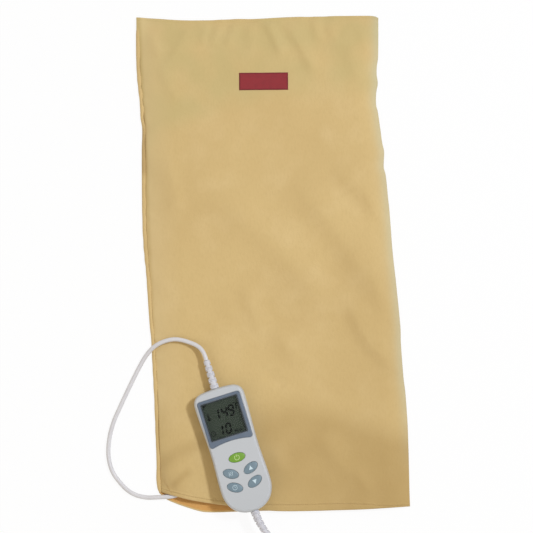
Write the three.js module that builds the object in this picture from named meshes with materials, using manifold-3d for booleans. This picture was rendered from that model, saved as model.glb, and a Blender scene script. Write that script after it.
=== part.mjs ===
// Moist heating pad: a flannel cover with the heating pad inside it, a hand control on top, and both leads.
// Millimetres, +Z up. The origin is the middle of the cover's underside, and +Y runs to the label end.
import * as THREE from 'three';
import { mergeVertices } from 'three/addons/utils/BufferGeometryUtils.js';
import Module from 'manifold-3d';

const wasm = await Module();
wasm.setup();

// Clearances shared by all pieces
const layerGap = 0.3;
const overrun = 1;

// Cover: two flannel panels sewn at the sides and the top, open at the mouth
const coverWidth = 346;
const coverLength = 692;
const backThickness = 1.8;
const frontThickness = 1.6;
const seamShow = 2.5;
const hemDepth = 8.6;
const hemExtra = 0.9;
const mouthBandLength = 58;
// How far past the heating pad's edge the cover reaches its full height, and the share it has at the mouth
const leftRiseReach = 27;
const rightRiseReach = 11;
const topRiseReach = 56;
const mouthRiseReach = 20;
const mouthRiseShare = 0.5;
// Edges of the cover: [share of the length along Y, share of the width along X]
const leftEdgeShares = [
  [-0.46, -0.492], [-0.3, -0.49], [0.04, -0.503], [0.285, -0.491], [0.37, -0.502], [0.51, -0.4935],
];
const rightEdgeShares = [[-0.512, 0.501], [-0.32, 0.512], [0.087, 0.493], [0.32, 0.474], [0.483, 0.4977]];
// Ends of the cover: [share across from the left edge, share of the length along Y]
const topEdgeShares = [[0, 0.51], [0.25, 0.4965], [0.75, 0.491], [1, 0.483]];
const frontMouthShares = [
  [0, -0.4588], [0.045, -0.466], [0.13, -0.4785], [0.25, -0.4908], [0.42, -0.502], [0.75, -0.511],
  [1, -0.512],
];
const backMouthShares = [
  [0, -0.4602], [0.03, -0.47], [0.11, -0.4902], [0.185, -0.5017], [0.41, -0.5062], [0.77, -0.513],
  [1, -0.5122],
];
// Soft folds that stand up from the front panel: start and end as [share across, share along], height share
const foldHeight = 3;
const foldWidth = 15;
const foldShares = [
  { start: [0.64, 0.74], end: [0.9, 0.59], height: 0.8 },
  { start: [0.27, 0.7], end: [0.93, 0.31], height: 1 },
  { start: [0.14, 0.72], end: [0.17, 0.58], height: 0.5 },
  { start: [0.42, 0.4], end: [0.5, 0.29], height: 0.6 },
  { start: [0.7, 0.9], end: [0.8, 0.83], height: 0.6 },
  { start: [0.1, 0.88], end: [0.2, 0.8], height: 0.5 },
];
// The lead lifts the mouth's edge where it goes in
const leadHumpShares = [0.078, 0.03];
const leadHumpHeight = 8;
const leadHumpRadius = 28;
const leadHumpRise = 12;

// Label sewn to the front panel
const labelLength = 69;
const labelWidth = 24.5;
const labelThickness = 0.7;
const labelLift = 0.4;
const labelPlaceShares = [0.0145, 0.3613];
const labelTurn = -3;

// Heating pad inside the cover: welded waterproof sheets, two felts and the wire between them
const padSideEase = 23;
const padTopEase = 46;
const padMouthEase = 80;
const padWidth = coverWidth - 2 * padSideEase;
const padLength = coverLength - padTopEase - padMouthEase;
const padCorner = 26;
const padLeastCorner = 4;
const sheetThickness = 0.8;
const weldWidth = 8;
const padSideRise = 27;
const padEndRise = 60;
const feltInset = 29;
const lowerFeltThickness = 2.5;
const upperFeltThickness = 3.1;
const feltRim = 5;
const wireDiameter = 1.6;
const wireRuns = 10;
const wireMargin = 23;
const wireReturnGap = 14;
const thermostatLength = 14;
const thermostatWidth = 7;
const fuseLinkLength = 18;
const fuseLinkDiameter = 2.1;
const limiterClearance = 1;
const thermostatPlaceShares = [[-0.22, 0.3], [0.26, -0.12]];
const fuseLinkPlaceShares = [-0.1, -0.36];

// Moulded gland where the lead enters the heating pad
const glandSideInset = 23;
const glandWidth = 24;
const glandLength = 24;
const glandHeight = 7.6;
const glandTongueLength = 6;
const glandTongueThickness = 2;
const glandBevel = 1.2;

// Hand control: the window sets the bezel, and the bezel and the keys set the case
const windowWidth = 52;
const windowLength = 52.5;
const windowSideInset = 4.25;
const windowTopInset = 3.85;
const windowBottomInset = 8.65;
const bezelWidth = windowWidth + 2 * windowSideInset;
const bezelLength = windowTopInset + windowLength + windowBottomInset;
const bezelSideInset = 5.25;
const bezelEndInset = 12;
const keyWidth = 12;
const powerKeyDrop = 21;
const firstRowGap = 6.65;
const secondRowGap = 7.15;
const firstRowDrop = keyWidth + firstRowGap;
const secondRowDrop = keyWidth + secondRowGap;
const chinLength = 38.2;
const caseWidth = bezelWidth + 2 * bezelSideInset;
const caseLength = bezelEndInset + bezelLength + powerKeyDrop + firstRowDrop + secondRowDrop + chinLength;
const caseHeight = 24;
const partHeight = 11.5;
const caseWall = 2.2;
const lipHeight = 1.5;
const upperEdgeInset = 3.6;
const lowerEdgeInset = 5;
const caseTurn = 14.29;
const casePlaceShares = [-0.1792, -0.3815];
// Right half of the case's outline from the top: Bezier points as shares of the half width and half length
const caseOutlineShares = [
  { steps: 2, points: [[0.25, 1], [0.45, 0.995], [0.62, 0.985]] },
  { steps: 5, points: [[0.86, 0.965], [1, 0.91], [1, 0.8]] },
  { steps: 4, points: [[1, 0.52], [0.938, 0.25], [0.941, 0]] },
  { steps: 3, points: [[0.944, -0.23], [0.986, -0.345], [0.986, -0.575]] },
  { steps: 8, points: [[0.986, -0.83], [0.62, -1], [0, -1]] },
];
// Rounding of the case's walls: [share of the edge inset, share of the wall's height]
const upperWallShares = [[0, 0], [0.08, 0.45], [0.28, 0.78], [0.58, 0.93], [1, 1]];
const lowerWallShares = [[0, 0], [0.06, 0.45], [0.25, 0.78], [0.58, 0.94], [1, 1]];

// Hand control: display
const bezelCentreX = -0.7;
const bezelThickness = 2;
const bezelProud = 0.3;
const bezelCorner = 4.5;
const bezelBow = 3.2;
const windowCentreX = -1;
const windowCorner = 1.5;
const lensThickness = 1.4;
const lensLedge = 1;
const wellThickness = 1.7;
const wellLedge = 1.5;
const displayMargin = 1.5;
const displayWidth = windowWidth + 2 * displayMargin;
const displayLength = windowLength + 2 * displayMargin;
const displayThickness = 2.1;
const lightMargin = 2.5;
const lightWidth = windowWidth + 2 * lightMargin;
const lightLength = windowLength + 2 * lightMargin;
const lightThickness = 1.8;

// Hand control: board, key mat and components
const boardSideInset = 6;
const boardWidth = caseWidth - 2 * boardSideInset;
const boardThickness = 1.6;
const boardTopInset = 15;
const boardBottomInset = 25;
const standoffDiameter = 5;
const standoffSideInset = 3.5;
const standoffEndInset = 10;
const matThickness = 1.2;
const matSideInset = 9.5;
const matWidth = caseWidth - 2 * matSideInset;
const matTopMargin = 8;
const matBottomMargin = 5.2;
const domeDiameter = 7;
const relaySize = [15.5, 19, 9.4];
const capacitorSize = [8, 18, 9];
const chipSize = [10, 10, 1.4];
const buzzerDiameter = 12;
const buzzerHeight = 7;
const boardFuseLength = 20;
const boardFuseDiameter = 5.2;
// Places under the board, as shares of its width and length from its middle
const relayPlaceShares = [0.203, 0.112];
const capacitorPlaceShares = [-0.271, 0.127];
const chipPlaceShares = [-0.068, -0.097];
const buzzerPlaceShares = [0.271, -0.201];
const boardFusePlaceShares = [-0.254, -0.291];

// Hand control: screws
const bossDiameter = 7.5;
const postDiameter = 6.4;
const screwHeadDiameter = 5;
const screwHeadHeight = 2;
const screwShankDiameter = 2.6;
const screwLength = 14;
const screwHeadDepth = 3;
// Places as shares of the case's width and length from its middle
const screwPlaceShares = [[0.363, 0.4425], [-0.363, 0.4425], [0.239, -0.408], [-0.239, -0.408]];

// Hand control: keys
const keyLength = 21.4;
const powerKeyLength = 22.8;
const keyTravel = 0.8;
const keyClearance = 0.35;
const keyProud = 0.7;
const keyFlange = 1.2;
const keyFlangeThickness = 1;
const keyCrown = 0.7;
const keyPlungerDiameter = 6;
const keyPlungerLength = 0.7;
const keySides = 20;
const leftKeyX = -0.2035 * caseWidth;
const rightKeyX = 0.193 * caseWidth;
const leftKeyTurn = -28;
const rightKeyTurn = 22.4;

// Leads and strain reliefs
const leadDiameter = 6;
const leadSides = 8;
const reliefBaseDiameter = 12;
const reliefTipDiameter = 8.8;
const reliefFlangeDiameter = 13;
const reliefNeckDiameter = 8.4;
const reliefFlangeThickness = 2;
const reliefFlangeSeat = 1.6;
const reliefSides = 10;
const ribs = 8;
const ribDepth = 0.9;
// Rib and groove: [share of the pitch, share of the rib's depth]
const ribShares = [[0, 0], [0.5, 0], [0.58, 1], [0.92, 1]];
const upperReliefLength = 40;
const upperReliefX = -1.2;
const lowerReliefLength = 37;
const lowerReliefX = 1.5;
const lowerReliefBend = 8;
const coreDiameter = 1.8;
const coreSpacing = 2.6;
const coreBendShare = 0.4;

// Route of the pad lead, from the gland in the cover's mouth to the hand control's upper strain relief
const padLeadPoints = [
  [-127, -290.3, 6], [-127, -297.5, 6], [-129, -307.4, 6], [-134.6, -315.9, 5.8], [-143, -321.5, 5.6],
  [-153, -323.6, 5.5], [-164.5, -323.8, 5.3], [-176, -323.8, 4.7], [-187.5, -323.2, 3.4],
  [-201.3, -319.3, 3.1], [-213.7, -311.1, 3.1], [-225, -297.8, 3.1], [-232.7, -284.6, 3.1],
  [-236.5, -268.2, 3.1], [-236.4, -251.7, 3.1], [-233.1, -233.8, 3.1], [-226.9, -215.8, 3.1],
  [-218.4, -198.6, 3.1], [-208.8, -180.2, 3.1], [-198.2, -160.6, 3.1], [-188.4, -143.4, 3.3],
  [-179.8, -130.3, 4.9], [-169.8, -119.8, 8.8], [-159.9, -113.8, 12.9], [-148.5, -110.1, 16.1],
  [-137.3, -108.9, 17.7], [-126.4, -110.9, 18.5], [-117.8, -114.1, 19.4], [-109.6, -117.9, 21],
  [-102.9, -122.9, 23], [-98.7, -128.6, 24.7], [-96.07, -135.12, 25.6], [-94.66, -140.65, 25.8],
];
// Route of the mains lead from the lower strain relief down to the coil
const mainsRunPoints = [
  [-21.93, -382.34, 25.8], [-17.04, -388.67, 25.7], [-12.15, -395.01, 25], [-4.81, -404.5, 22.6],
  [2.52, -414, 19], [9.86, -423.5, 15], [17.19, -433, 11.2], [24.53, -442.5, 8], [31.86, -452, 5.7],
  [39.2, -461.5, 4.5], [42.87, -466.25, 4.15], [46.54, -471, 4.1],
];
// Route of the mains lead from the top of the coil to the plug
const mainsTailPoints = [
  [54.24, -480.98, 23.9], [57.91, -485.73, 23.8], [65.03, -493.04, 23], [73.59, -498.56, 20.8],
  [83.18, -502.01, 17.2], [93.53, -503.22, 13.4], [101.5, -503.3, 10.4], [109, -503.3, 8.9],
  [115.7, -503.3, 8.6],
];

// Coil that puts the rest of the mains lead away
const coilMeanRadius = 35.5;
const coilRadialPitch = 6.6;
const coilLayerPitch = 6.6;
const coilLayers = 4;
const turnsPerLayer = 2.5;
const climbTurns = 0.5;
const stepsPerTurn = 24;
const coilSides = 6;
const coilCentre = [85.02, -449.25];
const coilStartAngle = 217.68;
const tieThickness = 0.8;
const tieWidth = 12;
const tieClearance = 0.9;
const tieAngle = 60;

// Plug
const plugPlace = [116, -503.3, 8.6];
const plugWidth = 25;
const plugHeight = 17;
const plugBodyLength = 30;
const plugReliefLength = 18;
const bladeSpacing = 12.7;
const bladeLength = 17.5;
const bladeThickness = 1.5;
const bladeSeat = 6;
const bladeHoleDiameter = 3.2;
const bladeHoleShare = 0.72;
const plugCornerShare = 0.4;
const narrowBladeWidth = 6.35;
const wideBladeWidth = 7.9;
// Sections along the plug: [share of its length from the cord, share of the width, share of the height]
const plugSectionShares = [
  [0, 0.34, 0.5], [0.05, 0.34, 0.5], [0.07, 0.28, 0.41], [0.13, 0.28, 0.41], [0.15, 0.38, 0.56],
  [0.2, 0.38, 0.56], [0.22, 0.31, 0.46], [0.28, 0.31, 0.46], [0.3, 0.45, 0.66], [0.36, 0.47, 0.7],
  [0.45, 0.78, 0.84], [0.55, 0.94, 0.94], [0.7, 1, 1], [0.94, 1, 1], [1, 0.93, 0.9],
];

const finish = (color, roughness, metalness = 0) => (
  new THREE.MeshStandardMaterial({ color, roughness, metalness }));
const flannel = finish(0xd2b97f, 0.95);
const lining = finish(0xc28f52, 0.95);
const labelWeave = finish(0x9a3846, 0.85);
const vinyl = finish(0xe8e4d8, 0.5);
const felt = finish(0xf0eee6, 1);
const silicone = finish(0xcfd2d4, 0.6);
const casePlastic = finish(0xdcdde0, 0.45);
const bezelPlastic = finish(0x74839a, 0.4);
const lensClear = finish(0x6c756a, 0.12);
const displayGlass = finish(0x59615a, 0.2);
const boardGreen = finish(0x2f6b45, 0.5);
const darkPlastic = finish(0x2b2c2f, 0.5);
const copper = finish(0xb87343, 0.35, 1);
const steel = finish(0xb9bcc0, 0.3, 1);
const brass = finish(0xc9a24f, 0.3, 1);
const keyGreen = finish(0x7fb13c, 0.5);
const keyBlue = finish(0x8aa3b6, 0.5);
const leadPlastic = finish(0xd9d9dc, 0.5);
const strap = finish(0x3a3b3e, 0.9);

const model = new THREE.Group();
const handControl = new THREE.Group();

const addPiece = (name, geometry, material, parent = model) => {
  const mesh = new THREE.Mesh(geometry, material);
  mesh.name = name;
  parent.add(mesh);
  return mesh;
};

const clamp01 = (value) => Math.min(Math.max(value, 0), 1);
const mix = (a, b, share) => a + (b - a) * share;
const radians = THREE.MathUtils.degToRad;

// Smooth curve through a table of [position, value] rows
const through = (table) => (position) => {
  let k = 0;
  while (k < table.length - 2 && position > table[k + 1][0]) k += 1;
  const slope = (i) => {
    const before = table[Math.max(i - 1, 0)];
    const after = table[Math.min(i + 1, table.length - 1)];
    return (after[1] - before[1]) / (after[0] - before[0]);
  };
  const step = table[k + 1][0] - table[k][0];
  const t = clamp01((position - table[k][0]) / step);
  const ease = t * t * (3 - 2 * t);
  const bend = t * (1 - t) * ((1 - t) * slope(k) - t * slope(k + 1)) * step;
  return mix(table[k][1], table[k + 1][1], ease) + bend;
};

// Closed geometry from positions and triangle corners
const indexed = (positions, faces) => {
  const geometry = new THREE.BufferGeometry();
  geometry.setAttribute('position', new THREE.Float32BufferAttribute(positions, 3));
  geometry.setIndex(faces);
  return geometry;
};

// Closed body through sections of equal point count; place turns a section's point into its place in space
const loft = (sections, place) => {
  const count = sections[0].length;
  const positions = [];
  const faces = [];
  sections.forEach((section, k) => {
    section.forEach((point) => positions.push(...place(point, k).toArray()));
  });
  for (let k = 0; k + 1 < sections.length; k += 1) {
    for (let i = 0; i < count; i += 1) {
      const a = k * count + i;
      const b = k * count + ((i + 1) % count);
      faces.push(a, b, b + count, a, b + count, a + count);
    }
  }
  const last = (sections.length - 1) * count;
  const endFaces = (section) => THREE.ShapeUtils.triangulateShape(section, []);
  endFaces(sections[0]).forEach(([a, b, c]) => faces.push(a, c, b));
  endFaces(sections.at(-1)).forEach(([a, b, c]) => faces.push(last + a, last + b, last + c));
  return indexed(positions, faces);
};

// Closed sheet over a grid: plan gives x and y, top and under give the two heights
const sheet = (across, along, plan, top, under) => {
  const columns = across.length;
  const rows = along.length;
  const positions = [];
  const faces = [];
  [top, under].forEach((height) => along.forEach((v) => across.forEach((u) => {
    positions.push(...plan(u, v), height(u, v));
  })));
  const at = (side, j, i) => (side * rows + j) * columns + i;
  for (let j = 0; j + 1 < rows; j += 1) {
    for (let i = 0; i + 1 < columns; i += 1) {
      faces.push(at(0, j, i), at(0, j, i + 1), at(0, j + 1, i + 1));
      faces.push(at(0, j, i), at(0, j + 1, i + 1), at(0, j + 1, i));
      faces.push(at(1, j, i), at(1, j + 1, i + 1), at(1, j, i + 1));
      faces.push(at(1, j, i), at(1, j + 1, i), at(1, j + 1, i + 1));
    }
  }
  const wall = (j, i, nextJ, nextI) => {
    faces.push(at(1, j, i), at(1, nextJ, nextI), at(0, nextJ, nextI));
    faces.push(at(1, j, i), at(0, nextJ, nextI), at(0, j, i));
  };
  for (let i = 0; i + 1 < columns; i += 1) {
    wall(0, i, 0, i + 1);
    wall(rows - 1, i + 1, rows - 1, i);
  }
  for (let j = 0; j + 1 < rows; j += 1) {
    wall(j, columns - 1, j + 1, columns - 1);
    wall(j + 1, 0, j, 0);
  }
  return indexed(positions, faces);
};

const toSolid = (geometry) => {
  const bare = geometry.clone();
  bare.deleteAttribute('normal');
  bare.deleteAttribute('uv');
  const merged = mergeVertices(bare);
  const vertProperties = new Float32Array(merged.attributes.position.array);
  const triVerts = new Uint32Array(merged.index.array);
  return new wasm.Manifold(new wasm.Mesh({ numProp: 3, vertProperties, triVerts }));
};

const fromSolid = (solid) => {
  const { vertProperties, triVerts } = solid.getMesh();
  return indexed([...vertProperties], [...triVerts]);
};

// One geometry moved to its place
const moved = (geometry, x, y, z, turn = 0) => {
  const copy = geometry.clone();
  copy.rotateZ(turn);
  copy.translate(x, y, z);
  return copy;
};

const cutAndJoin = (base, joins, cuts) => {
  let solid = toSolid(base);
  joins.forEach((geometry) => { solid = solid.add(toSolid(geometry)); });
  cuts.forEach((geometry) => { solid = solid.subtract(toSolid(geometry)); });
  return fromSolid(solid);
};

const ellipse = (halfLength, halfWidth, sides) => Array.from({ length: sides }, (_, i) => {
  const angle = (i / sides) * 2 * Math.PI;
  return new THREE.Vector2(halfLength * Math.cos(angle), halfWidth * Math.sin(angle));
});

const roundedRectangle = (width, length, corner, steps = 5) => {
  const points = [];
  [[1, -1, -90], [1, 1, 0], [-1, 1, 90], [-1, -1, 180]].forEach(([sideX, sideY, start]) => {
    for (let i = 0; i <= steps; i += 1) {
      const angle = radians(start + (i / steps) * 90);
      const x = sideX * (width / 2 - corner) + corner * Math.cos(angle);
      const y = sideY * (length / 2 - corner) + corner * Math.sin(angle);
      points.push(new THREE.Vector2(x, y));
    }
  });
  return points;
};

const plate = (points, thickness, holes = []) => {
  const shape = new THREE.Shape(points);
  holes.forEach((hole) => shape.holes.push(new THREE.Path(hole)));
  return new THREE.ExtrudeGeometry(shape, { depth: thickness, bevelEnabled: false });
};

const upright = (diameter, height, sides = 16) => {
  const cylinder = new THREE.CylinderGeometry(diameter / 2, diameter / 2, height, sides);
  cylinder.rotateX(Math.PI / 2);
  cylinder.translate(0, 0, height / 2);
  return cylinder;
};

const block = (width, length, height) => {
  const box = new THREE.BoxGeometry(width, length, height);
  box.translate(0, 0, height / 2);
  return box;
};

// Cover
const leftEdge = through(leftEdgeShares);
const rightEdge = through(rightEdgeShares);
const topEdge = through(topEdgeShares);
const frontMouth = through(frontMouthShares);
const backMouth = through(backMouthShares);
const lowerSheetZ = backThickness + layerGap;
const weldZ = lowerSheetZ + sheetThickness + layerGap;
const wireZ = weldZ + lowerFeltThickness + layerGap;
const upperFeltZ = wireZ + wireDiameter + layerGap;
const upperSheetZ = upperFeltZ + upperFeltThickness + layerGap;
const coverUnderZ = upperSheetZ + sheetThickness + layerGap;
const coverTopZ = coverUnderZ + frontThickness;

const coverPlan = (mouth, leftInset) => (u, v) => {
  const y = mix(mouth(u), topEdge(u), v) * coverLength;
  const left = leftEdge(y / coverLength) * coverWidth + leftInset;
  const right = rightEdge(y / coverLength) * coverWidth;
  return [mix(left, right, u), y];
};

const rise = (distance, width) => 1 - (1 - clamp01(distance / width)) ** 2;

const foldsAt = (u, v) => foldShares.reduce((sum, { start, end, height }) => {
  const line = [(end[0] - start[0]) * coverWidth, (end[1] - start[1]) * coverLength];
  const point = [(u - start[0]) * coverWidth, (v - start[1]) * coverLength];
  const along = clamp01((point[0] * line[0] + point[1] * line[1]) / (line[0] ** 2 + line[1] ** 2));
  const away = Math.hypot(point[0] - along * line[0], point[1] - along * line[1]);
  return sum + height * foldHeight * Math.exp(-((away / foldWidth) ** 2));
}, 0);

const humpAt = (u, v) => {
  const away = Math.hypot((u - leadHumpShares[0]) * coverWidth, (v - leadHumpShares[1]) * coverLength);
  return leadHumpHeight * Math.exp(-((away / leadHumpRadius) ** 2)) * rise(u * coverWidth, leadHumpRise);
};

const frontUnder = (u, v) => {
  const left = rise(u * coverWidth, padSideEase + leftRiseReach);
  const right = rise((1 - u) * coverWidth, padSideEase + rightRiseReach);
  const topEnd = rise((1 - v) * coverLength, padTopEase + topRiseReach);
  const mouthEnd = mix(mouthRiseShare, 1, rise(v * coverLength, padMouthEase + mouthRiseReach));
  const height = coverUnderZ - lowerSheetZ + foldsAt(u, v);
  return lowerSheetZ + height * left * right * topEnd * mouthEnd + humpAt(u, v);
};

const frontTop = (u, v) => {
  const hem = v * coverLength <= hemDepth + layerGap / 2 ? hemExtra : 0;
  return frontUnder(u, v) + frontThickness + hem;
};
const frontPlan = coverPlan(frontMouth, seamShow);
const backPlan = coverPlan(backMouth, 0);

const acrossShares = [
  0, 0.02, 0.05, 0.09, 0.14, 0.2, 0.3, 0.4, 0.5, 0.6, 0.7, 0.8, 0.87, 0.92, 0.95, 0.98, 1,
];
const alongShares = [
  0, 0.04, 0.08, 0.13, 0.18, 0.23, 0.28, 0.33, 0.38, 0.43, 0.48, 0.53,
  0.58, 0.63, 0.68, 0.73, 0.78, 0.83, 0.87, 0.91, 0.94, 0.97, 0.99, 1,
];
const bandShare = mouthBandLength / coverLength;
const gapShare = layerGap / coverLength;
const panelRows = alongShares.map((share) => mix(bandShare + gapShare, 1, share));
const bandDepths = [0, hemDepth, hemDepth + layerGap, mouthBandLength / 2, mouthBandLength];
const bandRows = bandDepths.map((depth) => depth / coverLength);
addPiece('cover_front_panel', sheet(acrossShares, panelRows, frontPlan, frontTop, frontUnder), flannel);
addPiece('cover_mouth_band', sheet(acrossShares, bandRows, frontPlan, frontTop, frontUnder), flannel);

const outlineSteps = 12;
const stepShares = Array.from({ length: outlineSteps }, (_, i) => i / outlineSteps);
const backOutline = [
  ...stepShares.map((share) => backPlan(share, 0)),
  ...stepShares.map((share) => backPlan(1, share)),
  ...stepShares.map((share) => backPlan(1 - share, 1)),
  ...stepShares.map((share) => backPlan(0, 1 - share)),
].map(([x, y]) => new THREE.Vector2(x, y));
addPiece('cover_back_panel', plate(backOutline, backThickness), lining);

// Label, laid on the front panel's own surface
const coverShares = (x, y) => {
  const left = leftEdge(y / coverLength) * coverWidth + seamShow;
  const right = rightEdge(y / coverLength) * coverWidth;
  const u = (x - left) / (right - left);
  return [u, (y / coverLength - frontMouth(u)) / (topEdge(u) - frontMouth(u))];
};
const labelPlan = (u, v) => {
  const local = new THREE.Vector2((u - 0.5) * labelLength, (v - 0.5) * labelWidth);
  local.rotateAround(new THREE.Vector2(), radians(labelTurn));
  return [local.x + labelPlaceShares[0] * coverWidth, local.y + labelPlaceShares[1] * coverLength];
};
const labelUnder = (u, v) => frontTop(...coverShares(...labelPlan(u, v))) + labelLift;
const labelTop = (u, v) => labelUnder(u, v) + labelThickness;
const labelAcrossShares = [0, 0.2, 0.4, 0.6, 0.8, 1];
const labelAlongShares = [0, 0.5, 1];
const label = sheet(labelAcrossShares, labelAlongShares, labelPlan, labelTop, labelUnder);
addPiece('cover_label', label, labelWeave);

// Heating pad: sheets
const padY = (padMouthEase - padTopEase) / 2;
const padOutline = (inset) => roundedRectangle(
  padWidth - 2 * inset,
  padLength - 2 * inset,
  Math.max(padCorner - inset, padLeastCorner),
);
const padDome = (point, height) => {
  const fromSide = padWidth / 2 - Math.abs(point.x) - weldWidth;
  const fromEnd = padLength / 2 - Math.abs(point.y) - weldWidth;
  return height * rise(fromSide, padSideRise) * rise(fromEnd, padEndRise);
};
const sheetRise = upperSheetZ - weldZ;
const padRings = [padSideRise / 3, feltInset - weldWidth, padSideRise, padEndRise];
const padInsets = [0, weldWidth, ...padRings.map((depth) => weldWidth + depth)];
const sheetSections = [...padInsets.toReversed(), ...padInsets].map(padOutline);
const upperSheet = loft(sheetSections, (point, k) => {
  const lift = k < padInsets.length ? 0 : sheetThickness;
  return new THREE.Vector3(point.x, point.y + padY, weldZ + lift + padDome(point, sheetRise));
});
addPiece('pad_upper_sheet', upperSheet, vinyl);
addPiece('pad_lower_sheet', moved(plate(padOutline(0), sheetThickness), 0, padY, lowerSheetZ), vinyl);

// Heating pad: felts, with windows in the lower one for the limiters
const limiterWindow = ([shareX, shareY], length, width) => {
  const middle = new THREE.Vector2(shareX * padWidth, shareY * padLength);
  const grow = 2 * limiterClearance;
  const points = roundedRectangle(length + grow, width + grow, limiterClearance, 2);
  return points.map((point) => point.add(middle)).reverse();
};
const feltWindows = [
  ...thermostatPlaceShares.map((place) => limiterWindow(place, thermostatLength, thermostatWidth)),
  limiterWindow(fuseLinkPlaceShares, fuseLinkLength, fuseLinkDiameter),
];
const lowerFelt = plate(padOutline(feltInset), lowerFeltThickness, feltWindows);
addPiece('pad_lower_felt', moved(lowerFelt, 0, padY, weldZ), felt);

const upperFeltInsets = [feltInset, weldWidth + padSideRise, weldWidth + padEndRise];
const recessInset = feltInset + feltRim;
const upperFeltSections = [recessInset, recessInset, feltInset, ...upperFeltInsets].map(padOutline);
const upperFelt = loft(upperFeltSections, (point, k) => {
  const top = weldZ + padDome(point, sheetRise) - layerGap;
  const height = [upperFeltZ, wireZ, wireZ][k] ?? top;
  return new THREE.Vector3(point.x, point.y + padY, height);
});
addPiece('pad_upper_felt', upperFelt, felt);

// Tube through listed points, with a section turned along the route
const tubeThrough = (points, radiusAt, sides) => {
  const tangents = points.map((_, i) => {
    const before = points[Math.max(i - 1, 0)];
    const after = points[Math.min(i + 1, points.length - 1)];
    return new THREE.Vector3().subVectors(after, before).normalize();
  });
  let normal = new THREE.Vector3(0, 0, 1).cross(tangents[0]).normalize();
  const frames = tangents.map((tangent) => {
    normal = normal.clone().addScaledVector(tangent, -normal.dot(tangent)).normalize();
    return { normal, binormal: new THREE.Vector3().crossVectors(tangent, normal) };
  });
  const sections = points.map((_, i) => ellipse(radiusAt(i), radiusAt(i), sides));
  return loft(sections, (point, k) => points[k].clone()
    .addScaledVector(frames[k].normal, point.x)
    .addScaledVector(frames[k].binormal, point.y));
};

// Heating wire: runs across the pad, joined by half turns, and back down the left side to the gland
const wireRoute = () => {
  const left = -padWidth / 2 + feltInset + wireMargin;
  const right = padWidth / 2 - wireMargin - wireReturnGap;
  const low = padY - padLength / 2 + feltInset + wireMargin;
  const high = padY + padLength / 2 - feltInset - wireMargin;
  const pitch = (high - low) / (wireRuns - 1);
  const turnRadius = pitch / 2;
  const height = wireZ + wireDiameter / 2;
  const points = [];
  const bendSteps = 6;
  const bend = (centreX, centreY, from, to) => {
    for (let i = 0; i <= bendSteps; i += 1) {
      const angle = radians(mix(from, to, i / bendSteps));
      points.push(new THREE.Vector3(
        centreX + turnRadius * Math.cos(angle),
        centreY + turnRadius * Math.sin(angle),
        height,
      ));
    }
  };
  for (let run = 0; run + 1 < wireRuns; run += 1) {
    const centreY = low + (run + 0.5) * pitch;
    const turnsAtRight = run % 2 === 0;
    bend(turnsAtRight ? right - turnRadius : left + turnRadius, centreY, turnsAtRight ? -90 : 270, 90);
  }
  const returnX = left - wireReturnGap;
  return [
    new THREE.Vector3(left, low, height),
    ...points,
    new THREE.Vector3(left, high, height),
    new THREE.Vector3(returnX, high - wireReturnGap, height),
    new THREE.Vector3(returnX, low, height),
  ];
};
addPiece('heating_wire', tubeThrough(wireRoute(), () => wireDiameter / 2, 6), copper);

const limiterHeight = lowerFeltThickness - layerGap;
thermostatPlaceShares.forEach(([shareX, shareY], i) => {
  const body = block(thermostatLength, thermostatWidth, limiterHeight);
  const geometry = moved(body, shareX * padWidth, shareY * padLength + padY, weldZ);
  addPiece(`thermostat_${i + 1}`, geometry, darkPlastic);
});
const fuseLink = new THREE.CylinderGeometry(fuseLinkDiameter / 2, fuseLinkDiameter / 2, fuseLinkLength, 10);
fuseLink.rotateZ(Math.PI / 2);
const fuseLinkX = fuseLinkPlaceShares[0] * padWidth;
const fuseLinkY = fuseLinkPlaceShares[1] * padLength + padY;
addPiece('thermal_fuse', moved(fuseLink, fuseLinkX, fuseLinkY, weldZ + fuseLinkDiameter / 2), steel);

// Gland: a moulded block on the back panel, with a tongue over the welded edge
const padEndY = padY - padLength / 2;
const glandProfile = () => {
  const tongueZ = weldZ + sheetThickness + layerGap;
  const glandTop = lowerSheetZ + glandHeight;
  const rear = -glandLength;
  return [
    [rear, lowerSheetZ], [-layerGap, lowerSheetZ], [-layerGap, tongueZ], [glandTongueLength, tongueZ],
    [glandTongueLength, tongueZ + glandTongueThickness / 2],
    [glandTongueLength / 2, tongueZ + glandTongueThickness],
    [-layerGap, glandTop - glandBevel], [-glandBevel, glandTop], [rear + glandBevel, glandTop],
    [rear, glandTop - glandBevel],
  ].map(([y, z]) => new THREE.Vector2(y, z));
};
const glandX = glandSideInset - padWidth / 2;
const gland = plate(glandProfile(), glandWidth);
gland.rotateX(Math.PI / 2);
gland.rotateZ(Math.PI / 2);
addPiece('pad_gland', moved(gland, glandX - glandWidth / 2, padEndY, 0), silicone);

// Hand control: outline of the case, anticlockwise from the bottom
const caseOutline = () => {
  const half = [caseWidth / 2, caseLength / 2];
  const place = ([x, y]) => new THREE.Vector2(x * half[0], y * half[1]);
  const right = [place([0, 1])];
  caseOutlineShares.forEach(({ steps, points }) => {
    const curve = new THREE.CubicBezierCurve(right.at(-1), ...points.map(place));
    right.push(...curve.getPoints(steps).slice(1));
  });
  const left = right.slice(1, -1).map((point) => new THREE.Vector2(-point.x, point.y));
  return [...right.reverse(), ...left];
};
const outlinePoints = caseOutline();
const insetOutline = (inset) => outlinePoints.map((point, i) => {
  const before = outlinePoints.at(i - 1);
  const after = outlinePoints[(i + 1) % outlinePoints.length];
  const tangent = new THREE.Vector2().subVectors(after, before).normalize();
  return new THREE.Vector2(point.x - tangent.y * inset, point.y + tangent.x * inset);
});

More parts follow.
